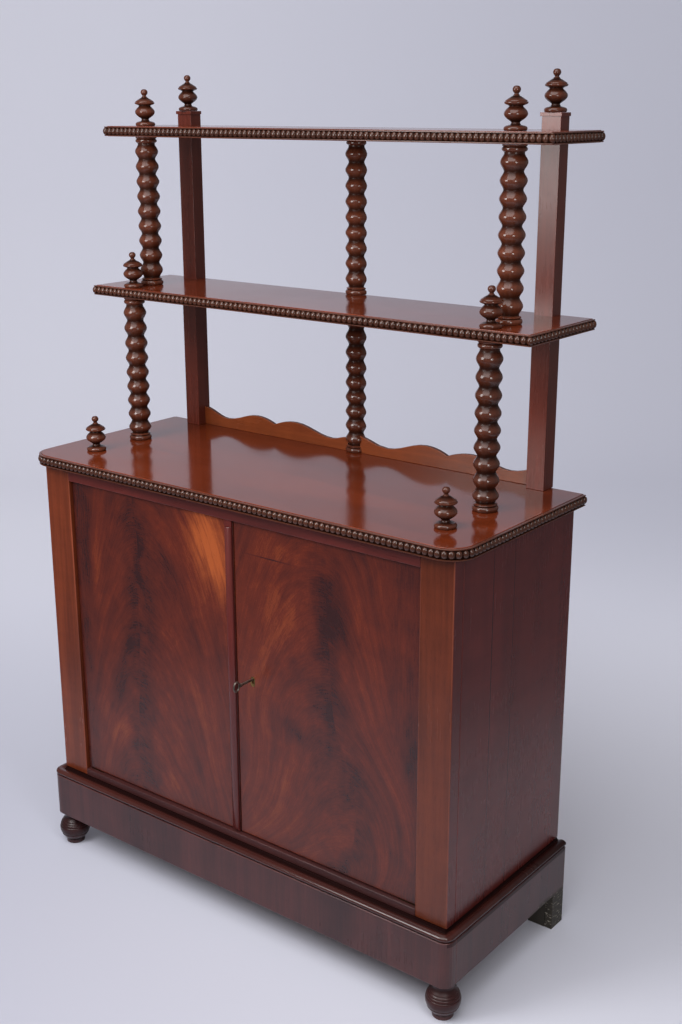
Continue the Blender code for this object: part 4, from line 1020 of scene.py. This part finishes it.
class EtagereDoors(bpy.types.Operator):
    """Veneer the two doors and mould the closing bead"""
    bl_idname = "etagere.doors"
    bl_label = "Doors"

    def execute(self, context):
        edges = context.scene.etagere_boards
        for label in ("left", "right"):
            node = label + "_door"
            bm = softened_copy(node, edges.arris, outer_only=True)
            place_piece(node + "_veneered", bm, [label + "_flame"], "flame_mahogany", node, body=node)
        self.closing_bead("closing_bead")
        return {"FINISHED"}

    @staticmethod
    def closing_bead(node):
        """Rounded bead on the left door's meeting edge, its lower end pared off and a block above it."""
        low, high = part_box(node)
        middle = (low.x + high.x) / 2
        half = (high.x - low.x) / 2
        proud = high.y - low.y
        flank, crown = 0.42, 0.58
        bm = bmesh.new()
        hollow = bm.verts.layers.float.new("hollow")
        arris = bm.faces.layers.float.new("arris")
        section = [(-half, 0.0)]
        for a in range(0, 181, 15):
            angle = math.radians(a)
            section.append((-half * math.cos(angle), proud * (flank + crown * math.sin(angle))))
        section += [(half, 0.0)]
        rings = []
        for height, kept in ((low.z, 0.35), (low.z + 7 * MM, 1.0), (high.z - 1 * MM, 1.0), (high.z, 0.9)):
            ring = []
            for u, v in section:
                vert = bm.verts.new((middle + u, high.y - v * kept, height))
                # The two lines where the bead meets the door carry the mark hollow: painted shade.
                vert[hollow] = 0.6 if v == 0.0 else 0.0
                ring.append(vert)
            rings.append(ring)
        for first, second in zip(rings, rings[1:]):
            for k in range(len(section)):
                face = bm.faces.new((first[k - 1], first[k], second[k], second[k - 1]))
                # The fourth strip carries the mark arris, which the finish lightens strongly: a painted
                # reflection along the bead.
                face[arris] = float(k == 3)
        bm.faces.new(rings[0])
        bm.faces.new(rings[-1])
        block = bmesh.ops.create_cube(bm, size=1.0)["verts"]
        bmesh.ops.scale(bm, vec=(2 * half, proud * 0.5, 14 * MM), verts=block)
        bmesh.ops.translate(bm, vec=(middle, high.y - proud * 0.25, high.z + 7.4 * MM), verts=block)
        bmesh.ops.recalc_face_normals(bm, faces=bm.faces)
        soften_shading(bm)
        place_piece(node + "_moulded", bm, [node], "moulding_mahogany", node, body="left_door")


class EtagereIronwork(bpy.types.Operator):
    """Finish the pivots, lock, key and bolts"""
    bl_idname = "etagere.ironwork"
    bl_label = "Pivots, lock and bolts"

    def execute(self, context):
        repaint("dark_brass", "left_lower_pivot", "right_lower_pivot", "left_upper_pivot",
                "right_upper_pivot")
        repaint("brass", "keyhole_liner", "lock_bolt", "top_bolt_plate", "bottom_bolt_plate")
        repaint("steel", "key", "lock_case", "top_bolt", "bottom_bolt")
        return {"FINISHED"}


# --- stage

ROOM_SHADE = (0.09, 0.095, 0.11)
FLOOR_ROWS = (-3.2, -1.0, 1.0, 3.0)
SWEEP_RADIUS = 1.2
WALL_ROWS = (2.6, 4.2)
SWEEP_SIDES = (-4.0, 0.0, 4.0)


def paper_finish(tone, turn):
    """Pale paper sweep that glows behind the piece, a painted light seen only by camera, glossy and
    transmission rays, and fades to painted shade in front of it and to the sides.
    """
    bench = Bench("paper_sweep")
    x, y, _ = bench.split(bench.place)
    sideways = bench.times_plus(x, math.cos(turn), bench.times(y, math.sin(turn)))
    forward = bench.times_plus(x, -math.sin(turn), bench.times(y, math.cos(turn)))
    width = bench.times_plus(bench.calc("MAXIMUM", forward, 0.0), 0.22, 1.0)
    across = bench.over(sideways, width)
    near = bench.square(bench.calc("MINIMUM", forward, 0.0))
    edge = bench.between(bench.calc("SQRT", bench.calc("ADD", bench.square(across), near)), 1.0, 1.6)
    # Painted light and shade: near the piece the paper is darker to the left, far behind it darker to the
    # right.
    shade = bench.blend(bench.between(forward, 0.2, 2.6), bench.between(across, -1.0, 0.8, 0.66, 1.0),
                        bench.between(across, -1.0, 1.0, 0.94, 0.74))
    fibres = bench.noise((300, 300, 300))
    dimmed = tuple(c * f for c, f in zip(tone, (0.0, 0.01, 0.10)))
    colour = bench.mix(shade, dimmed, tone)
    colour = bench.mix(bench.times(fibres, 0.03), colour, scaled(tone, 0.8))
    # Painted shade: the paper darkens to the room colour towards its edges.
    colour = bench.mix(bench.times(edge, 0.7), colour, ROOM_SHADE)
    ray = bench.add("ShaderNodeLightPath")
    seen = bench.calc("MAXIMUM", ray["Is Camera Ray"], ray["Is Glossy Ray"])
    seen = bench.calc("MAXIMUM", seen, ray["Is Transmission Ray"])
    # Painted light: the glow grows from in front of the piece to behind it.
    behind = bench.times(bench.between(forward, -0.6, 1.8, 0.0, 0.42), bench.minus(1.0, edge))
    bench.give("Emission Color", colour)
    bench.give("Emission Strength", bench.times(seen, behind))
    bench.give("Specular IOR Level", 0.0)
    return bench.finish(colour, 0.9)


class EtagereSetStage(bpy.types.Operator):
    """Lay the paper sweep and set the lamps, the room light and the camera"""
    bl_idname = "etagere.stage"
    bl_label = "Stage"

    def execute(self, context):
        stage = context.scene.etagere_stage
        self.sweep(stage)
        self.lamps(stage)
        self.room(context, stage)
        self.camera(context, stage)
        context.scene.view_settings.view_transform = "Standard"
        return {"FINISHED"}

    @staticmethod
    def sweep(stage):
        turn = Matrix.Rotation(stage.camera_turn, 4, "Z")
        far, radius = FLOOR_ROWS[-1], SWEEP_RADIUS
        outline = [(y, 0.0) for y in FLOOR_ROWS]
        outline += [(far + radius * math.sin(math.radians(a)), radius - radius * math.cos(math.radians(a)))
                    for a in range(6, 91, 6)]
        outline += [(far + radius, height) for height in WALL_ROWS]
        bm = bmesh.new()
        rows = [[bm.verts.new(turn @ Vector((x, y, z))) for y, z in outline] for x in SWEEP_SIDES]
        for first, second in zip(rows, rows[1:]):
            for k in range(len(outline) - 1):
                bm.faces.new((first[k], second[k], second[k + 1], first[k + 1])).smooth = True
        paper = paper_finish(tuple(stage.floor_tone), stage.camera_turn)
        sweep = add_object("paper_sweep", mesh_of("paper_sweep", bm, [paper]))

    @staticmethod
    def lamps(stage):
        for name, place, aim, wide, tall, power in (
                ("key_lamp", (-0.42, -1.25, 1.57), (0.05, 0.0, 0.80), 0.60, 0.80, stage.key_power),
                ("fill_lamp", (1.42, -0.85, 1.45), (0.2, 0.0, 0.85), 0.30, 0.60, stage.fill_power),
                ("overhead_lamp", (0.3, -1.9, 3.8), (0.0, 0.0, 0.6), 3.4, 3.4, stage.overhead_power)):
            lamp = bpy.data.lights.new(name, "AREA")
            lamp.shape = "RECTANGLE"
            lamp.size, lamp.size_y = wide, tall
            lamp.energy = power
            light = add_object(name, lamp)
            light.location = place
            light.rotation_euler = (Vector(aim) - Vector(place)).to_track_quat("-Z", "Y").to_euler()

    @staticmethod
    def room(context, stage):
        world = bpy.data.worlds.new("room")
        context.scene.world = world
        world.use_nodes = True
        ground = world.node_tree.nodes["Background"]
        ground.inputs["Color"].default_value = (0.96, 0.97, 1.0, 1.0)
        ground.inputs["Strength"].default_value = stage.sky

    @staticmethod
    def camera(context, stage):
        data = bpy.data.cameras.new("camera")
        data.sensor_fit = "VERTICAL"
        data.sensor_height = 36.0
        data.lens = stage.lens
        camera = add_object("camera", data)
        turn, dip, roll = stage.camera_turn, stage.camera_dip, stage.camera_roll
        ahead = Vector((-math.sin(turn) * math.cos(dip), math.cos(turn) * math.cos(dip), -math.sin(dip)))
        right = Vector((math.cos(turn), math.sin(turn), 0.0))
        up = right.cross(ahead)
        side = right * math.cos(roll) + up * math.sin(roll)
        rise = up * math.cos(roll) - right * math.sin(roll)
        frame_axes = Matrix((side, rise, -ahead)).transposed()
        camera.matrix_world = Matrix.Translation(Vector(stage.camera_place)) @ frame_axes.to_4x4()
        context.scene.camera = camera


# --- panel and start

STEPS = (EtagereShelves, EtagereBeadedEdges, EtagereColumns, EtagereFinials, EtagerePosts, EtagereGallery,
         EtagereCarcase, EtagereDoors, EtagereIronwork, EtagerePlinth, EtagereFeet, EtagereSetStage)


class ETAGERE_PT_panel(bpy.types.Panel):
    """Settings and steps of the etagere"""
    bl_label = "Etagere"
    bl_idname = "ETAGERE_PT_panel"
    bl_space_type = "VIEW_3D"
    bl_region_type = "UI"
    bl_category = "Etagere"

    def draw(self, context):
        for key in SETTINGS:
            group = getattr(context.scene, key)
            box = self.layout.box()
            for setting in group.__annotations__:
                box.prop(group, setting)
        for step in STEPS:
            self.layout.operator(step.bl_idname)


CLASSES = (*SETTINGS.values(), *STEPS, ETAGERE_PT_panel)


def register():
    for cls in CLASSES:
        bpy.utils.register_class(cls)
    for key, group in SETTINGS.items():
        setattr(bpy.types.Scene, key, PointerProperty(type=group))


def unregister():
    for key in SETTINGS:
        delattr(bpy.types.Scene, key)
    for cls in reversed(CLASSES):
        bpy.utils.unregister_class(cls)


def main():
    register()
    for step in STEPS:
        group, action = step.bl_idname.split(".")
        getattr(getattr(bpy.ops, group), action)()


if __name__ == "__main__":
    main()
